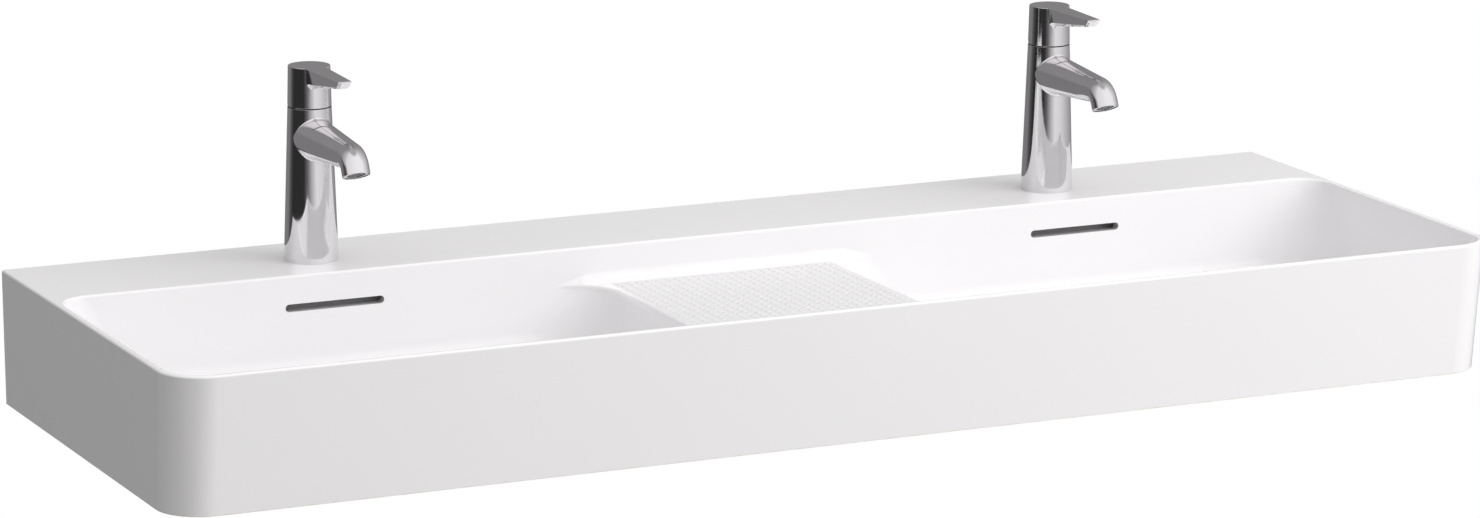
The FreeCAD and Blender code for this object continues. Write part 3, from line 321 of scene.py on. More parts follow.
class Finish:
    """A material with one principled shader, and helpers to lay nodes on it."""

    def __init__(self, name, **values):
        self.material = bpy.data.materials.new(name)
        self.material.use_nodes = True
        self.tree = self.material.node_tree
        self.tree.nodes.clear()
        self.shader = add_node(self.tree, "ShaderNodeBsdfPrincipled", values)
        add_node(self.tree, "ShaderNodeOutputMaterial", {"Surface": self.shader.outputs["BSDF"]})

    def feed(self, target, source):
        """Join an output to one of the shader's inputs."""
        self.tree.links.new(source, self.shader.inputs[target])

    def cloudy(self, scale, detail, low=0.0, high=1.0):
        """Cloudy variation between two values."""
        inputs = {"Scale": scale, "Detail": detail, "Low": low, "High": high}
        return add_node(self.tree, "ShaderNodeGroup", inputs, node_tree=cloudy_group()).outputs["Value"]

    def stained(self, shade, dark, scale, detail):
        """A colour that is darker in clouds, by a share of itself."""
        stain = [channel * dark for channel in shade]
        return mixed(self.tree, self.cloudy(scale, detail), opaque(stain), opaque(shade))

    def rippled(self, strength, depth, wave_scale, pit_scale, pits):
        """Bump the surface by the rippled skin, and give the finished material."""
        inputs = {"Wave scale": wave_scale, "Pit scale": pit_scale, "Pits": pits}
        skin = add_node(self.tree, "ShaderNodeGroup", inputs, node_tree=ripple_group()).outputs["Height"]
        bump = {"Strength": strength, "Distance": depth, "Height": skin}
        self.feed("Normal", add_node(self.tree, "ShaderNodeBump", bump).outputs["Normal"])
        return self.material


def box_mask(tree, split, ranges):
    """Mask of a box on each side of the middle plane, from its ranges of width, depth and height."""
    sources = (worked_out(tree, "ABSOLUTE", split["X"]), split["Y"], split["Z"])
    within = [worked_out(tree, "COMPARE", source, (low + high) / 2, (high - low) / 2)
              for source, (low, high) in zip(sources, ranges)]
    return worked_out(tree, "MULTIPLY", worked_out(tree, "MULTIPLY", within[0], within[1]), within[2])


def glaze_finish(settings):
    """White glaze, matt on the shelf, with bare clay near the wall face and at the foot; painted shade
    darkens the shelf and greys the overflow channels.
    """
    finish = Finish("glazed_ceramic", IOR=1.5)
    tree = finish.tree
    place = add_node(tree, "ShaderNodeTexCoord").outputs["Object"]
    split = add_node(tree, "ShaderNodeSeparateXYZ", {"Vector": place}).outputs
    ragged = finish.cloudy(scale=140.0, detail=4.0, low=-0.7 * MM, high=0.7 * MM)
    edges = [ranged(tree, worked_out(tree, "ADD", split[axis], ragged), start, end)
             for axis, start, end in BARE_EDGES]
    bare = worked_out(tree, "MAXIMUM", *edges)
    # On the shelf: matt glaze, and a darker colour painted as shade
    shelf = box_mask(tree, split, SHELF_TOP)
    # Inside the overflow channels: a grey painted as shade
    channel = box_mask(tree, split, OVERFLOW_CHANNEL)
    shown = finish.stained(settings.glaze, dark=0.985, scale=4.0, detail=2.0)
    for mask, shade in ((shelf, settings.shelf), (bare, settings.bisque), (channel, settings.channel)):
        shown = mixed(tree, mask, shown, opaque(shade))
    finish.feed("Base Color", shown)
    gloss = finish.cloudy(scale=30.0, detail=3.0, low=0.09, high=0.15)
    rough = mixed(tree, bare, gloss, settings.bisque_roughness, "FLOAT")
    finish.feed("Roughness", mixed(tree, shelf, rough, settings.shelf_roughness, "FLOAT"))
    return finish.rippled(strength=0.25, depth=0.4 * MM, wave_scale=38.0, pit_scale=1400.0, pits=0.08)


# Shared by finishes of one kind: stain and sheen (scale, detail), skin (depth, wave scale, pit scale, pits)
PLATED = {"metallic": 1.0, "dark": 0.97, "stain": (45.0, 4.0), "sheen": (60.0, 5.0),
          "skin": (0.2 * MM, 60.0, 1500.0, 0.05)}
METAL = {"metallic": 1.0, "dark": 0.78, "stain": (80.0, 5.0), "sheen": (220.0, 4.0),
         "skin": (0.3 * MM, 150.0, 2600.0, 0.6)}
MOULDED = {"metallic": 0.0, "dark": 0.88, "stain": (60.0, 4.0), "sheen": (260.0, 3.0),
           "skin": (0.3 * MM, 90.0, 3200.0, 0.5)}

# Kind, colour, least and greatest roughness, and strength of the skin
PLAIN_FINISHES = {
    "steel": (METAL, (0.62, 0.62, 0.60), (0.28, 0.42), 0.25),
    "brass": (METAL, (0.50, 0.37, 0.19), (0.30, 0.45), 0.25),
    "rubber": (MOULDED, (0.030, 0.030, 0.032), (0.60, 0.80), 0.35),
    "white_plastic": (MOULDED, (0.80, 0.80, 0.78), (0.35, 0.48), 0.15),
    "grey_plastic": (MOULDED, (0.12, 0.12, 0.125), (0.38, 0.50), 0.15),
    "disc_ceramic": (MOULDED, (0.74, 0.73, 0.70), (0.12, 0.20), 0.05),
}


def plain_finish(name, kind, shade, roughness, strength):
    """Plating, metal, plastic, rubber or pressed ceramic, with faint stains, uneven sheen and a fine skin."""
    finish = Finish(name, Metallic=kind["metallic"])
    finish.feed("Base Color", finish.stained(shade, kind["dark"], *kind["stain"]))
    finish.feed("Roughness", finish.cloudy(*kind["sheen"], *roughness))
    return finish.rippled(strength, *kind["skin"])


def material(name):
    """A finish by its slot's name, made at its first use."""
    for made in bpy.data.materials:
        if made.get("washbasin_finish") == name:
            return made
    scene = bpy.context.scene
    if name == "glazed_ceramic":
        made = glaze_finish(scene.washbasin_ceramic)
    elif name == "chrome":
        made = plain_finish(name, PLATED, scene.washbasin_tap.chrome, (0.035, 0.075), 0.05)
    else:
        made = plain_finish(name, *PLAIN_FINISHES[name])
    made["washbasin_finish"] = name
    return made


# Meshes


def middle(node):
    """Middle of a node's box."""
    low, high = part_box(node)
    return (low + high) / 2


def foot_of_tap(side):
    """Where a tap's axis meets the deck."""
    low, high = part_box(f"{side}_tap_body")
    return Vector(((low.x + high.x) / 2, (low.y + high.y) / 2, low.z))


def linked(name, bm, finish):
    """An object in the scene from a mesh in hand, with its material."""
    mesh = bpy.data.meshes.new(name)
    bm.to_mesh(mesh)
    bm.free()
    mesh.materials.append(finish)
    piece = bpy.data.objects.new(name, mesh)
    bpy.context.scene.collection.objects.link(piece)
    return piece


def settled(name, bm, finish):
    """An object from a mesh made here, with its doubles merged and its normals outward."""
    bmesh.ops.remove_doubles(bm, verts=bm.verts, dist=MERGED)
    bmesh.ops.recalc_face_normals(bm, faces=bm.faces)
    return linked(name, bm, material(finish))


def baked(piece):
    """Turn a piece with modifiers into a plain mesh."""
    depsgraph = bpy.context.evaluated_depsgraph_get()
    mesh = bpy.data.meshes.new_from_object(piece.evaluated_get(depsgraph), depsgraph=depsgraph)
    old = piece.data
    piece.modifiers.clear()
    piece.data = mesh
    bpy.data.meshes.remove(old)
    mesh.name = piece.name
    return piece


def smoothed(piece, smooth_angle):
    """Shade smooth up to an angle, with each corner's normal led by the large faces near it."""
    mesh = piece.data
    normals = [face.normal.copy() for face in mesh.polygons]
    areas = [face.area for face in mesh.polygons]
    around = [[] for _ in mesh.vertices]
    for face in mesh.polygons:
        for corner in face.vertices:
            around[corner].append(face.index)
    least = math.cos(smooth_angle)
    corner_normals = []
    for own, face in zip(normals, mesh.polygons):
        for corner in face.vertices:
            total = own * 1e-12
            for other in around[corner]:
                if normals[other].dot(own) > least:
                    total += normals[other] * areas[other]
            corner_normals.append(total.normalized())
    mesh.shade_smooth()
    mesh.normals_split_custom_set(corner_normals)
    return piece


def combined(piece, tool, operation):
    """Join a piece with a tool, or cut it by the tool, which is used up."""
    step = piece.modifiers.new("Combine", "BOOLEAN")
    step.operation = operation
    step.solver = "EXACT"
    step.object = tool
    baked(piece)
    mesh = tool.data
    bpy.data.objects.remove(tool)
    bpy.data.meshes.remove(mesh)
    return piece


def placed(piece, body, slot, *nodes):
    """Set a finished piece on its body and hide the nodes that it stands for; the slot it is given is not
    used.
    """
    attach(piece, body)
    if nodes:
        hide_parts(*nodes)
    return piece


def rounded(points, steps=4):
    """A closed outline of (radius, height, corner radius), with its corners turned to arcs."""
    result = []
    count = len(points)
    for k, (radius, height, corner) in enumerate(points):
        here = Vector((radius, height))
        if corner <= 0:
            result.append(here)
            continue
        back = (Vector(points[k - 1][:2]) - here).normalized()
        ahead = (Vector(points[(k + 1) % count][:2]) - here).normalized()
        half = back.angle(ahead) / 2
        reach = corner / math.tan(half)
        centre = here + (back + ahead).normalized() * (corner / math.sin(half))
        start = (here + back * reach - centre).normalized()
        end = (here + ahead * reach - centre).normalized()
        for step in range(steps + 1):
            result.append(centre + start.slerp(end, step / steps) * corner)
    return result


def bridge(bm, here, after):
    """Faces between two rings of vertices, either of which may be a single point."""
    count = max(len(here), len(after))
    if count == 1:
        return
    for k in range(count):
        corners = [here[k % len(here)], here[(k + 1) % len(here)],
                   after[(k + 1) % len(after)], after[k % len(after)]]
        bm.faces.new(list(dict.fromkeys(corners)))


def turned(name, outline, axis, segments, finish):
    """A piece turned about an upright axis from a closed outline of radii and heights."""
    bm = bmesh.new()
    rings = []
    for radius, height in outline:
        if radius < 1e-7:
            rings.append([bm.verts.new((axis.x, axis.y, axis.z + height))])
            continue
        rings.append([bm.verts.new((axis.x + radius * math.cos(2 * math.pi * k / segments),
                                    axis.y + radius * math.sin(2 * math.pi * k / segments),
                                    axis.z + height)) for k in range(segments)])
    for here, after in zip(rings, rings[1:] + rings[:1]):
        bridge(bm, here, after)
    return settled(name, bm, finish)


def rod(name, start, end, radius, finish):
    """A plain cylinder between two points, used as a cutting tool."""
    start, end = Vector(start), Vector(end)
    bm = bmesh.new()
    turn = (end - start).to_track_quat("Z", "Y").to_matrix().to_4x4()
    bmesh.ops.create_cone(bm, cap_ends=True, segments=48, radius1=radius, radius2=radius,
                          depth=(end - start).length, matrix=Matrix.Translation((start + end) / 2) @ turn)
    return settled(name, bm, finish)


def smooth_copy(node, finish, body, smooth_angle=SMOOTH_COPY):
    """A merged, smooth-shaded copy that stands for a node."""
    bm = bmesh.new()
    bm.from_mesh(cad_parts[node].data)
    bmesh.ops.remove_doubles(bm, verts=bm.verts, dist=MERGED_COPY)
    piece = linked(f"{node}_skin", bm, material(finish))
    smoothed(piece, smooth_angle)
    return placed(piece, body, finish, node)


# Studio


def shades_around(tree, turn, stops):
    """Grey shades at bearings in degrees, laid over a full turn."""
    walls = add_node(tree, "ShaderNodeValToRGB", {"Fac": turn})
    for k, (bearing, shade) in enumerate(stops):
        where = (bearing + 180) / 360
        stop = walls.color_ramp.elements[k] if k < 2 else walls.color_ramp.elements.new(where)
        stop.position = where
        stop.color = opaque(shade * part for part in WALL_TINT)
    return walls.outputs["Color"]


def changed_above(tree, height, band, lower, upper):
    """One look low down that gives way to another between two heights."""
    return mixed(tree, ranged(tree, height, *band, curve="SMOOTHSTEP"), lower, upper)


class WASHBASIN_OT_stage(bpy.types.Operator):
    """Set up the camera, the floor and the studio's light"""

    bl_idname = "washbasin.stage"
    bl_label = "Stage"

    def execute(self, context):
        settings = context.scene.washbasin_stage
        self.add_camera(context, settings)
        self.add_floor(settings)
        self.add_world(context, settings)
        self.add_key_light(context, settings)
        context.scene.view_settings.view_transform = "Standard"
        return {"FINISHED"}

    @staticmethod
    def add_camera(context, settings):
        """The camera at the photographed angle."""
        data = bpy.data.cameras.new("camera")
        data.sensor_width = 36.0
        data.sensor_fit = "HORIZONTAL"
        data.lens = settings.lens
        data.clip_end = 200.0
        camera = bpy.data.objects.new("camera", data)
        turn = Euler((math.pi / 2 - settings.camera_tilt, 0.0, settings.camera_turn)).to_matrix()
        turn = turn @ Matrix.Rotation(settings.camera_roll, 3, "Z")
        camera.matrix_world = Matrix.Translation(settings.camera_place) @ turn.to_4x4()
        context.scene.collection.objects.link(camera)
        context.scene.camera = camera

    @staticmethod
    def add_floor(settings):
        """A wide pale floor, white where it is seen and softer where it lights the ceramic."""
        finish = bpy.data.materials.new("pale_floor")
        finish.use_nodes = True
        tree = finish.node_tree
        tree.nodes.clear()
        place = add_node(tree, "ShaderNodeTexCoord").outputs["Object"]
        # Glow brighter towards the front right, a painted pool of light
        lit_way = (0.8, -0.6, 0.0)
        ahead = add_node(tree, "ShaderNodeVectorMath", {0: place, 1: lit_way}, operation="DOT_PRODUCT")
        pool = ranged(tree, ahead.outputs["Value"], -0.6, 1.2, settings.floor_dark, settings.floor_lit)
        seen = add_node(tree, "ShaderNodeLightPath").outputs["Is Camera Ray"]
        glow = add_node(tree, "ShaderNodeEmission", {"Strength": ranged(tree, seen, 0.0, 1.0, low=pool)})
        add_node(tree, "ShaderNodeOutputMaterial", {"Surface": glow.outputs["Emission"]})
        bm = bmesh.new()
        bmesh.ops.create_circle(bm, cap_ends=True, segments=64, radius=settings.floor_radius,
                                matrix=Matrix.Translation((0.0, 0.0, settings.floor_level)))
        floor = linked("floor", bm, finish)
        floor.visible_glossy = False

    @staticmethod
    def add_world(context, settings):
        """Studio walls as light, and the darker walls that polished metal mirrors."""
        world = bpy.data.worlds.new("studio")
        world.use_nodes = True
        tree = world.node_tree
        tree.nodes.clear()
        place = add_node(tree, "ShaderNodeTexCoord").outputs["Generated"]
        split = add_node(tree, "ShaderNodeSeparateXYZ", {"Vector": place}).outputs
        bearing = worked_out(tree, "ARCTAN2", split["Y"], split["X"])
        turn, height = ranged(tree, bearing, -math.pi, math.pi), split["Z"]
        dark, side, wide, rear = settings.dark_side, settings.grey_side, settings.open_side, settings.behind
        walls = shades_around(tree, turn, [
            (-180, dark), (-125, dark), (-88, wide), (-35, wide), (-6, side), (35, 0.85 * side), (60, rear),
            (110, rear), (135, dark), (180, dark),
        ])
        room = changed_above(tree, height, CEILING, walls, grey(settings.overhead))
        dark, bright, rear = settings.mirror_dark, settings.mirror_bright, settings.mirror_rear
        low = shades_around(tree, turn, [
            (-180, dark), (-140, dark), (-122, 0.15 * bright), (-104, 0.48 * bright), (-82, 0.85 * bright),
            (-54, 0.78 * bright), (-9, 0.5 * bright), (36, 1.3 * rear), (60, rear), (128, rear),
            (140, 0.5 * rear), (160, dark), (180, dark),
        ])
        high = shades_around(tree, turn, [
            (-180, 0.85 * bright), (-100, bright), (-40, bright), (-9, 0.7 * bright), (36, 1.6 * rear),
            (60, 1.2 * rear), (95, 1.2 * rear), (138, 1.3 * rear), (165, 0.6 * bright), (180, 0.85 * bright),
        ])
        mirror = changed_above(tree, height, MIRRORED_UPPER_WALLS, low, high)
        mirror = changed_above(tree, height, MIRRORED_CEILING, mirror, grey(settings.mirror_top))
        rays = add_node(tree, "ShaderNodeLightPath").outputs
        lit = mixed(tree, rays["Is Glossy Ray"], room, mirror)
        seen = mixed(tree, rays["Is Camera Ray"], lit, grey(settings.backdrop))
        shade = add_node(tree, "ShaderNodeBackground", {"Color": seen})
        add_node(tree, "ShaderNodeOutputWorld", {"Surface": shade.outputs["Background"]})
        context.scene.world = world

    @staticmethod
    def add_key_light(context, settings):
        """A square softbox at the front right."""
        data = bpy.data.lights.new("key_light", "AREA")
        data.size = settings.key_size
        data.energy = settings.key_power
        light = bpy.data.objects.new("key_light", data)
        light.location = settings.key_place
        light.rotation_euler = (-light.location).to_track_quat("-Z", "Y").to_euler()
        light.visible_camera = False
        light.visible_glossy = False
        context.scene.collection.objects.link(light)


# Pieces


class WASHBASIN_OT_ceramic(bpy.types.Operator):
    """Make the glazed ceramic with its bowls, shelf and deck"""

    bl_idname = "washbasin.ceramic"
    bl_label = "Ceramic"

    def execute(self, context):
        smooth_copy("basin", "glazed_ceramic", "basin")
        return {"FINISHED"}


class WASHBASIN_OT_shelf_studs(bpy.types.Operator):
    """Make the field of low studs on the shelf between the bowls"""

    bl_idname = "washbasin.shelf_studs"
    bl_label = "Shelf studs"

    def execute(self, context):
        settings = context.scene.washbasin_ceramic
        tree = self.stud_tree()
        seed = bpy.data.meshes.new("shelf_studs")
        studs = bpy.data.objects.new("shelf_studs", seed)
        context.scene.collection.objects.link(studs)
        modifier = studs.modifiers.new("Studs", "NODES")
        modifier.node_group = tree
        values = {
            "Width": settings.field_width, "Depth": settings.field_back - settings.field_front,
            "Pitch": settings.stud_pitch, "Radius": settings.stud_radius,
            "Flatness": settings.stud_rise / settings.stud_radius,
            "Middle": (0.0, (settings.field_back + settings.field_front) / 2, settings.shelf_height),
            "Glaze": material("glazed_ceramic"),
        }
        for item in tree.interface.items_tree:
            if item.item_type == "SOCKET" and item.in_out == "INPUT" and item.name in values:
                modifier[item.identifier] = values[item.name]
        baked(studs)
        # The first slot is an empty one that Set Material leaves
        studs.data.materials.pop(index=0)
        placed(studs, "basin", "glazed_ceramic")
        return {"FINISHED"}

    @staticmethod
    def stud_tree():
        """Nodes that set flattened balls on a square grid."""
        tree = bpy.data.node_groups.new("Stud field", "GeometryNodeTree")
        tree.is_modifier = True
        inputs = {
            "Geometry": "Geometry", "Width": "Float", "Depth": "Float", "Pitch": "Float", "Radius": "Float",
            "Flatness": "Float", "Middle": "Vector", "Glaze": "Material",
        }
        for title, kind in inputs.items():
            tree.interface.new_socket(title, in_out="INPUT", socket_type=f"NodeSocket{kind}")
        tree.interface.new_socket("Geometry", in_out="OUTPUT", socket_type="NodeSocketGeometry")
        given = add_node(tree, "NodeGroupInput").outputs
        # One point more than there are steps, and a little, so that a whole number isn't cut to the one below
        past_steps = 1.01
        sizes = {}
        for extent, axis in (("Width", "X"), ("Depth", "Y")):
            steps = worked_out(tree, "DIVIDE", given[extent], given["Pitch"])
            sizes[f"Size {axis}"] = given[extent]
            sizes[f"Vertices {axis}"] = worked_out(tree, "ADD", steps, past_steps)
        grid = add_node(tree, "GeometryNodeMeshGrid", sizes)
        round_shape = {"Segments": 16, "Rings": 8, "Radius": given["Radius"]}
        ball = add_node(tree, "GeometryNodeMeshUVSphere", round_shape)
        scale = add_node(tree, "ShaderNodeCombineXYZ", {"X": 1.0, "Y": 1.0, "Z": given["Flatness"]})
        field = add_node(tree, "GeometryNodeInstanceOnPoints", {
            "Points": grid.outputs["Mesh"], "Instance": ball.outputs["Mesh"],
            "Scale": scale.outputs["Vector"],
        })
        last = add_node(tree, "GeometryNodeRealizeInstances", {"Geometry": field.outputs["Instances"]})
        for kind, more in (("GeometryNodeTransform", {"Translation": given["Middle"]}),
                           ("GeometryNodeSetShadeSmooth", {}),
                           ("GeometryNodeSetMaterial", {"Material": given["Glaze"]}),
                           ("NodeGroupOutput", {})):
            last = add_node(tree, kind, {"Geometry": last.outputs["Geometry"], **more})
        return tree


class WASHBASIN_OT_tap_bodies(bpy.types.Operator):
    """Turn the tapering tap bodies, with black rings on their end faces as painted shade in the gap under the
    caps
    """

    bl_idname = "washbasin.tap_bodies"
    bl_label = "Tap bodies"

    def execute(self, context):
        tap = context.scene.washbasin_tap
        taper = (tap.base_radius - tap.neck_radius) / tap.body_height
        hollow_top = tap.base_radius - taper * tap.plate_low - tap.wall
        soft = tap.edge_round
        outline = rounded([
            (tap.base_radius, 0.0, soft), (tap.neck_radius, tap.body_height, soft),
            (tap.thread_radius, tap.body_height, soft / 2), (tap.thread_radius, tap.shoulder, 0.0),
            (tap.chamber_radius, tap.shoulder, 0.0), (tap.chamber_radius, tap.plate_top, 0.0),
            (0.0, tap.plate_top, 0.0), (0.0, tap.plate_low, 0.0), (hollow_top, tap.plate_low, 0.0),
            (tap.base_radius - tap.wall, 0.0, soft / 2),
        ])
        # Outline of the black ring laid on the end face as painted shade in the gap under the cap
        inner, outer = tap.thread_radius + soft, tap.neck_radius - soft
        low, high = tap.body_height, tap.body_height + tap.gap_shade_ring
        flat = [(inner, low), (outer, low), (outer, high), (inner, high)]
        for side in SIDES:
            axis = foot_of_tap(side)
            body = turned(f"{side}_tap_column", outline, axis, tap.segments, "chrome")
            for way in (-1, 1):
                foot = axis + Vector((way * tap.port_spread / 2, -tap.port_forward, tap.plate_low - MM))
                head = foot + Vector((0.0, 0.0, tap.plate_top - tap.plate_low + 2 * MM))
                combined(body, rod("port", foot, head, tap.port_radius, "chrome"), "DIFFERENCE")
            smoothed(body, SMOOTH_TURNED)
            placed(body, "basin", "chrome", f"{side}_tap_body")
            # The black ring, painted shade in the gap under the cap
            placed(turned(f"{side}_gap_shade_ring", flat, axis, tap.segments, "rubber"), "basin", "rubber")
        return {"FINISHED"}


class WASHBASIN_OT_spouts(bpy.types.Operator):
    """Sweep the spouts and the fillets at their roots"""

    bl_idname = "washbasin.spouts"
    bl_label = "Spouts"

    segments = 72
    root_share = 0.06
    run_steps = 12
    bend_steps = 14
    lip_steps = 8
    bored_stations = 16
    fillet_segments = 96
    fillet_steps = 8
    fillet_passes = 12

    def execute(self, context):
        tap = context.scene.washbasin_tap
        for side in SIDES:
            axis = foot_of_tap(side)
            placed(self.swept(f"{side}_spout_tube", tap, axis), "basin", "chrome", f"{side}_spout")
            placed(self.root_fillet(f"{side}_spout_fillet", tap, axis), "basin", "chrome")
        return {"FINISHED"}

    def spout_line(self, tap):
        """Middle points of the spout, with their forward direction and radius, from the axis to the lip."""
        stations = []
        for k in range(self.run_steps + 1):
            run = tap.spout_run * (self.root_share + (1 - self.root_share) * k / self.run_steps)
            radius = tap.spout_root + (tap.spout_tip - tap.spout_root) * run / tap.spout_run
            stations.append((Vector((0.0, -run, tap.spout_height)), Vector((0.0, -1.0, 0.0)), radius))
        pivot = Vector((0.0, -tap.spout_run, tap.spout_height - tap.spout_bend_radius))
        for k in range(1, self.bend_steps + 1):
            turn = tap.spout_bend * k / self.bend_steps
            out = Vector((0.0, -math.sin(turn), math.cos(turn)))
            ahead = Vector((0.0, -math.cos(turn), -math.sin(turn)))
            stations.append((pivot + out * tap.spout_bend_radius, ahead, tap.spout_tip))
        place, ahead, radius = stations[-1]
        stations.append((place + ahead * tap.spout_lip, ahead, radius))
        return stations

    def swept(self, name, tap, axis):
        """The tube, with a thin rounded lip and a bore that ends inside."""
        rings = self.spout_line(tap)
        place, ahead, radius = rings.pop()
        bored = rings[-self.bored_stations:]
        soft = tap.lip_wall / 2
        for k in range(self.lip_steps + 1):
            turn = math.pi * k / self.lip_steps
            back = soft * (1 - math.sin(turn))
            rings.append((place - ahead * back, ahead, radius - soft * (1 - math.cos(turn))))
        seat = place - ahead * tap.lip_depth
        rings += [(seat, ahead, radius - tap.lip_wall), (seat, ahead, tap.spout_bore)]
        rings += [(place, ahead, tap.spout_bore) for place, ahead, _ in reversed(bored)]
        bm = bmesh.new()
        made = []
        across = Vector((1.0, 0.0, 0.0))
        for place, ahead, radius in rings:
            up = across.cross(ahead)
            ring = []
            for k in range(self.segments):
                turn = 2 * math.pi * k / self.segments
                out = across * math.cos(turn) + up * math.sin(turn)
                ring.append(bm.verts.new(axis + place + out * radius))
            made.append(ring)
        for here, after in zip(made, made[1:]):
            bridge(bm, here, after)
        for end in (0, -1):
            bridge(bm, made[end], [bm.verts.new(axis + rings[end][0])])
        return smoothed(settled(name, bm, "chrome"), SMOOTH_TURNED)

    def root_fillet(self, name, tap, axis):
        """A fillet as a ball leaves it when it rolls round the spout's root."""
        ball = tap.root_fillet
        hidden_edge = 2.2 * ball
        taper = (tap.base_radius - tap.neck_radius) / tap.body_height
        narrowing = (tap.spout_root - tap.spout_tip) / tap.spout_run
        bm = bmesh.new()
        rings = []
        for k in range(self.fillet_segments):
            turn = 2 * math.pi * k / self.fillet_segments
            across = Vector((math.sin(turn), 0.0, math.cos(turn)))
            forward = tap.neck_radius
            for _ in range(self.fillet_passes):
                reach = tap.spout_root - narrowing * forward + ball
                height = tap.spout_height + across.z * reach
                wall = tap.base_radius - taper * height + ball
                forward = math.sqrt(max(wall * wall - (across.x * reach) ** 2, 0.0))
            centre = Vector((across.x * reach, -forward, height))
            to_spout = -across
            to_body = -Vector((centre.x, centre.y, 0.0)).normalized()
            ring = [centre + to_spout.slerp(to_body, step / self.fillet_steps) * ball
                    for step in range(self.fillet_steps + 1)]
            ring.append(centre + (to_spout + to_body).normalized() * hidden_edge)
            rings.append([bm.verts.new(axis + place) for place in ring])
        for here, after in zip(rings, rings[1:] + rings[:1]):
            bridge(bm, here, after)
        return smoothed(settled(name, bm, "chrome"), SMOOTH_FILLET)


class WASHBASIN_OT_handles(bpy.types.Operator):
    """Make the caps with their keel-shaped levers"""

    bl_idname = "washbasin.handles"
    bl_label = "Handles"

    plug_clearance = 0.05 * MM
    plug_hole_depth = 10 * MM
    lever_root_depth = 6.0 * MM
    bilge_width = 0.86
    bilge_depth = 0.8
    flare_steps = 8
    lever_steps = 10
    curved_steps = 3
    facet_steps = 4

    def execute(self, context):
        tap = context.scene.washbasin_tap
        top = HANDLE_HIGH.z - BODY_LOW.z
        low = tap.body_height + tap.cap_gap
        soft = tap.cap_round
        outline = rounded([
            (tap.neck_radius, low, soft / 2), (tap.crown_radius, top, soft), (0.0, top, 0.0),
            (0.0, top - tap.cap_roof, 0.0), (tap.cap_bore, top - tap.cap_roof, 0.0),
            (tap.cap_bore, low, soft / 4),
        ])
        for side in SIDES:
            axis = foot_of_tap(side)
            handle = turned(f"{side}_lever_handle", outline, axis, tap.segments, "chrome")
            combined(handle, self.lever("lever", tap, axis, top), "UNION")
            combined(handle, self.wedge("wedge", tap, axis), "DIFFERENCE")
            combined(handle, self.plug_hole("plug_hole", f"{side}_index_plug"), "DIFFERENCE")
            smoothed(handle, SMOOTH_HANDLE)
            placed(handle, f"{side}_lever", "chrome", f"{side}_handle")
        return {"FINISHED"}

    def plug_hole(self, name, plug):
        """The hole in the cap for the plug that hides the screw."""
        low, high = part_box(plug)
        centre = middle(plug)
        start = (centre.x, low.y, centre.z)
        end = (centre.x, centre.y + self.plug_hole_depth, centre.z)
        return rod(name, start, end, (high.x - low.x) / 2 + self.plug_clearance, "chrome")

    def section(self, half, keel, depth, soft):
        """A boat-shaped outline with rounded corners, from (0, 0) at the middle of its top."""
        side, bilge = half * self.bilge_width, -depth * self.bilge_depth
        return rounded([
            (-half, 0.0, soft), (half, 0.0, soft), (side, bilge, soft * 2), (keel, -depth, soft * 2),
            (-keel, -depth, soft * 2), (-side, bilge, soft * 2),
        ], 3)

    def lever_rows(self, tap, start, reach):
        """Sections of the lever from inside the cap to its slanted tip.

        Each has its distance from the cap, half its width, its depth, and whether it follows the cap's round.
        """
        neck, end = tap.lever_flare, reach - tap.lever_facet - start

        def sizes(gap):
            width = tap.lever_width + (tap.lever_tip_width - tap.lever_width) * gap / end
            depth = tap.lever_depth + (tap.lever_tip_depth - tap.lever_depth) * gap / (reach - start)
            return width / 2, depth

        rows = []
        for k in range(self.flare_steps + 1):
            turn = math.pi / 2 * (1 - k / self.flare_steps)
            gap, growth = neck * (1 - math.sin(turn)), neck * (1 - math.cos(turn))
            half, depth = sizes(gap)
            rows.append((gap, half + growth / 6, depth + growth, True))
        rows.insert(0, (-self.lever_root_depth, *rows[0][1:]))
        for k in range(1, self.lever_steps + 1):
            gap = neck + (end - neck) * k / self.lever_steps
            rows.append((gap, *sizes(gap), k <= self.curved_steps))
        _, half, depth, _ = rows[-1]
        lip = 2.2 * tap.cap_round
        for k in range(1, self.facet_steps + 1):
            share = k / self.facet_steps
            narrow, thin = half - tap.cap_round / 2 * share, depth + (lip - depth) * share
            rows.append((end + tap.lever_facet * share, narrow, thin, False))
        return rows

    def lever(self, name, tap, axis, top):
        """The lever, lofted through its sections."""
        start, reach = tap.crown_radius, axis.y - HANDLE_LOW.y
        fade_length = 2.5 * tap.lever_flare
        bm = bmesh.new()
        rings = []
        for gap, half, depth, curved in self.lever_rows(tap, start, reach):
            ring = []
            soft = min(tap.cap_round, depth / 5)
            for across, down in self.section(half, half * tap.lever_keel, depth, soft):
                bow = math.sqrt(max(start * start - across * across, 0.0)) - start if curved else 0.0
                fade = max(0.0, 1.0 - max(gap, 0.0) / fade_length)
                ring.append(bm.verts.new(axis + Vector((across, -(start + gap + bow * fade), top + down))))
            rings.append(ring)
        for here, after in zip(rings, rings[1:]):
            bridge(bm, here, after)
        for end in (0, -1):
            bm.faces.new(rings[end])
        return settled(name, bm, "chrome")

    @staticmethod
    def wedge(name, tap, axis):
        """The space that lets the cap rock back over the body."""
        low, far = tap.rock_height, 2.5 * tap.base_radius
        rise = far * math.tan(tap.rock_angle)
        profile = [(0.0, low), (far, low + rise), (far, low - far), (0.0, low - far)]
        bm = bmesh.new()
        ends = []
        for across in (-far, far):
            ends.append([bm.verts.new(axis + Vector((across, back, height))) for back, height in profile])
        bridge(bm, *ends)
        for end in ends:
            bm.faces.new(end)
        return settled(name, bm, "chrome")


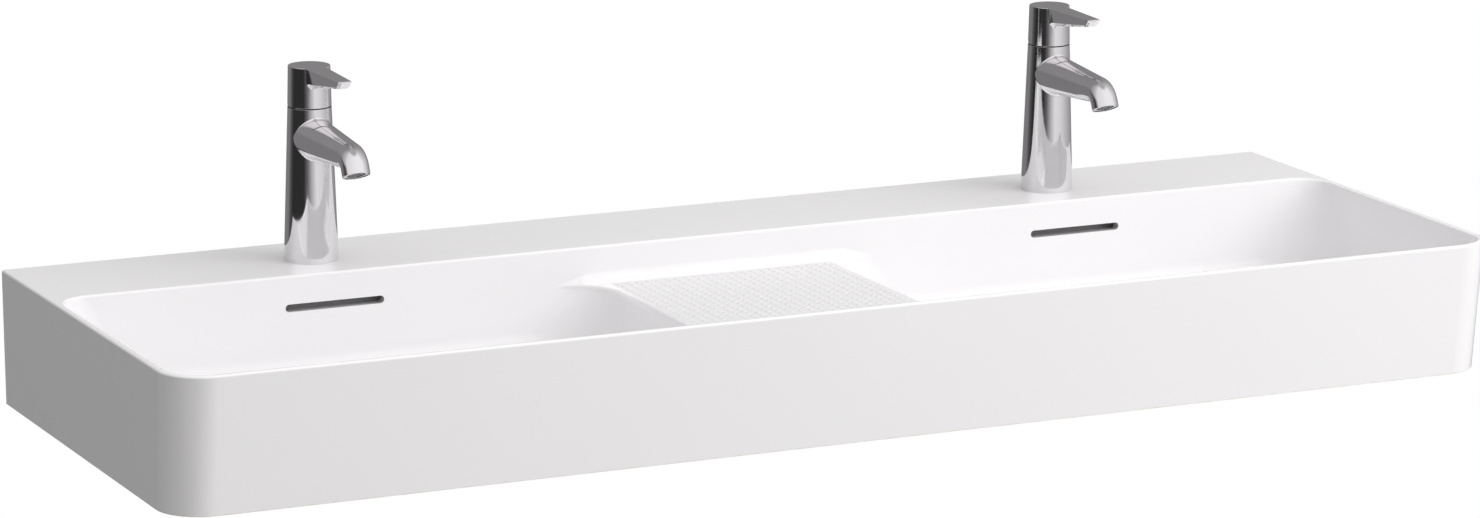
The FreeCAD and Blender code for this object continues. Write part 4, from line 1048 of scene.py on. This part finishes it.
class WASHBASIN_OT_tap_trim(bpy.types.Operator):
    """Make the small pieces that show on a tap: the index plug, the aerator and the base seal"""

    bl_idname = "washbasin.tap_trim"
    bl_label = "Tap trim"

    def execute(self, context):
        for side in SIDES:
            smooth_copy(f"{side}_index_plug", "chrome", f"{side}_lever")
            smooth_copy(f"{side}_aerator_shell", "chrome", "basin")
            smooth_copy(f"{side}_aerator_insert", "grey_plastic", "basin")
            smooth_copy(f"{side}_base_seal", "rubber", "basin")
        return {"FINISHED"}


class WASHBASIN_OT_wastes(bpy.types.Operator):
    """Make the wastes with their domed covers"""

    bl_idname = "washbasin.wastes"
    bl_label = "Wastes"

    boss_round = 0.4 * MM
    under_round = 0.5 * MM
    dome_steps = 10

    def execute(self, context):
        waste = context.scene.washbasin_waste
        segments = context.scene.washbasin_tap.segments
        for side in SIDES:
            smooth_copy(f"{side}_waste_body", "chrome", "basin")
            low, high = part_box(f"{side}_plug_cap")
            axis = Vector(((low.x + high.x) / 2, (low.y + high.y) / 2, low.z))
            radius, tall = (high.x - low.x) / 2, high.z - low.z
            shoulder, under = tall - waste.dome, tall - waste.cover_thickness
            crown = []
            for k in range(3, self.dome_steps):
                turn = math.pi / 2 * k / self.dome_steps
                crown.append((radius * math.cos(turn), shoulder + waste.dome * math.sin(turn), 0.0))
            outline = rounded([
                (0.0, 0.0, 0.0), (waste.boss_radius, 0.0, self.boss_round), (waste.boss_radius, under, 0.0),
                (radius, under, self.under_round), (radius, shoulder, waste.edge), *crown, (0.0, tall, 0.0),
            ])
            cover = turned(f"{side}_plug_cover", outline, axis, segments, "chrome")
            smoothed(cover, SMOOTH_TURNED)
            placed(cover, f"{side}_plug", "chrome", f"{side}_plug_cap")
        return {"FINISHED"}


class WASHBASIN_OT_hidden_fittings(bpy.types.Operator):
    """Finish the fittings under the deck and the pieces inside the taps and wastes"""

    bl_idname = "washbasin.hidden_fittings"
    bl_label = "Hidden fittings"

    below = {
        "mounting_stud": "steel", "clamp_plate": "steel", "stud_nut": "brass", "clamp_rubber": "rubber",
        "under_seal": "rubber", "back_nut": "brass", "flange_seal": "rubber",
    }
    inside = {
        "cartridge_base": "white_plastic", "cartridge_housing": "white_plastic", "fixed_disc": "disc_ceramic",
        "moving_disc": "disc_ceramic", "disc_carriage": "white_plastic", "rotor": "white_plastic",
        "pivot_pin": "steel", "spindle": "steel", "retaining_nut": "brass", "handle_screw": "steel",
        "latch_sleeve": "white_plastic", "plug_stem": "brass", "plug_seal": "rubber",
    }

    def execute(self, context):
        for side in SIDES:
            for piece, finish in self.below.items():
                smooth_copy(f"{side}_{piece}", finish, "basin")
            for piece, finish in self.inside.items():
                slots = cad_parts[f"{side}_{piece}"].data.materials
                slots.clear()
                slots.append(material(finish))
        return {"FINISHED"}


# Add-on


OPERATORS = (
    WASHBASIN_OT_stage, WASHBASIN_OT_ceramic, WASHBASIN_OT_shelf_studs, WASHBASIN_OT_tap_bodies,
    WASHBASIN_OT_spouts, WASHBASIN_OT_handles, WASHBASIN_OT_tap_trim, WASHBASIN_OT_wastes,
    WASHBASIN_OT_hidden_fittings,
)
SETTINGS = {
    "washbasin_stage": StageSettings, "washbasin_ceramic": CeramicSettings, "washbasin_tap": TapSettings,
    "washbasin_waste": WasteSettings,
}


class WASHBASIN_PT_sidebar(bpy.types.Panel):
    """Lists the settings and the operators of the washbasin"""

    bl_idname = "WASHBASIN_PT_sidebar"
    bl_label = "Double washbasin"
    bl_space_type = "VIEW_3D"
    bl_region_type = "UI"
    bl_category = "Washbasin"

    def draw(self, context):
        for operator in OPERATORS:
            self.layout.operator(operator.bl_idname)
        for name in SETTINGS:
            box = self.layout.box()
            group = getattr(context.scene, name)
            for setting in group.bl_rna.properties.keys():
                if setting not in ("rna_type", "name"):
                    box.prop(group, setting)


def register():
    """Register the classes and hang the settings on the scene."""
    for kind in (*SETTINGS.values(), *OPERATORS, WASHBASIN_PT_sidebar):
        bpy.utils.register_class(kind)
    for name, kind in SETTINGS.items():
        setattr(bpy.types.Scene, name, PointerProperty(type=kind))


def unregister():
    """Take the settings off the scene and unregister the classes."""
    for name in SETTINGS:
        delattr(bpy.types.Scene, name)
    for kind in (WASHBASIN_PT_sidebar, *reversed(OPERATORS), *SETTINGS.values()):
        bpy.utils.unregister_class(kind)


def main():
    """Register the classes and make everything in order."""
    register()
    bpy.ops.washbasin.stage()
    bpy.ops.washbasin.ceramic()
    bpy.ops.washbasin.shelf_studs()
    bpy.ops.washbasin.tap_bodies()
    bpy.ops.washbasin.spouts()
    bpy.ops.washbasin.handles()
    bpy.ops.washbasin.tap_trim()
    bpy.ops.washbasin.wastes()
    bpy.ops.washbasin.hidden_fittings()


if __name__ == "__main__":
    main()
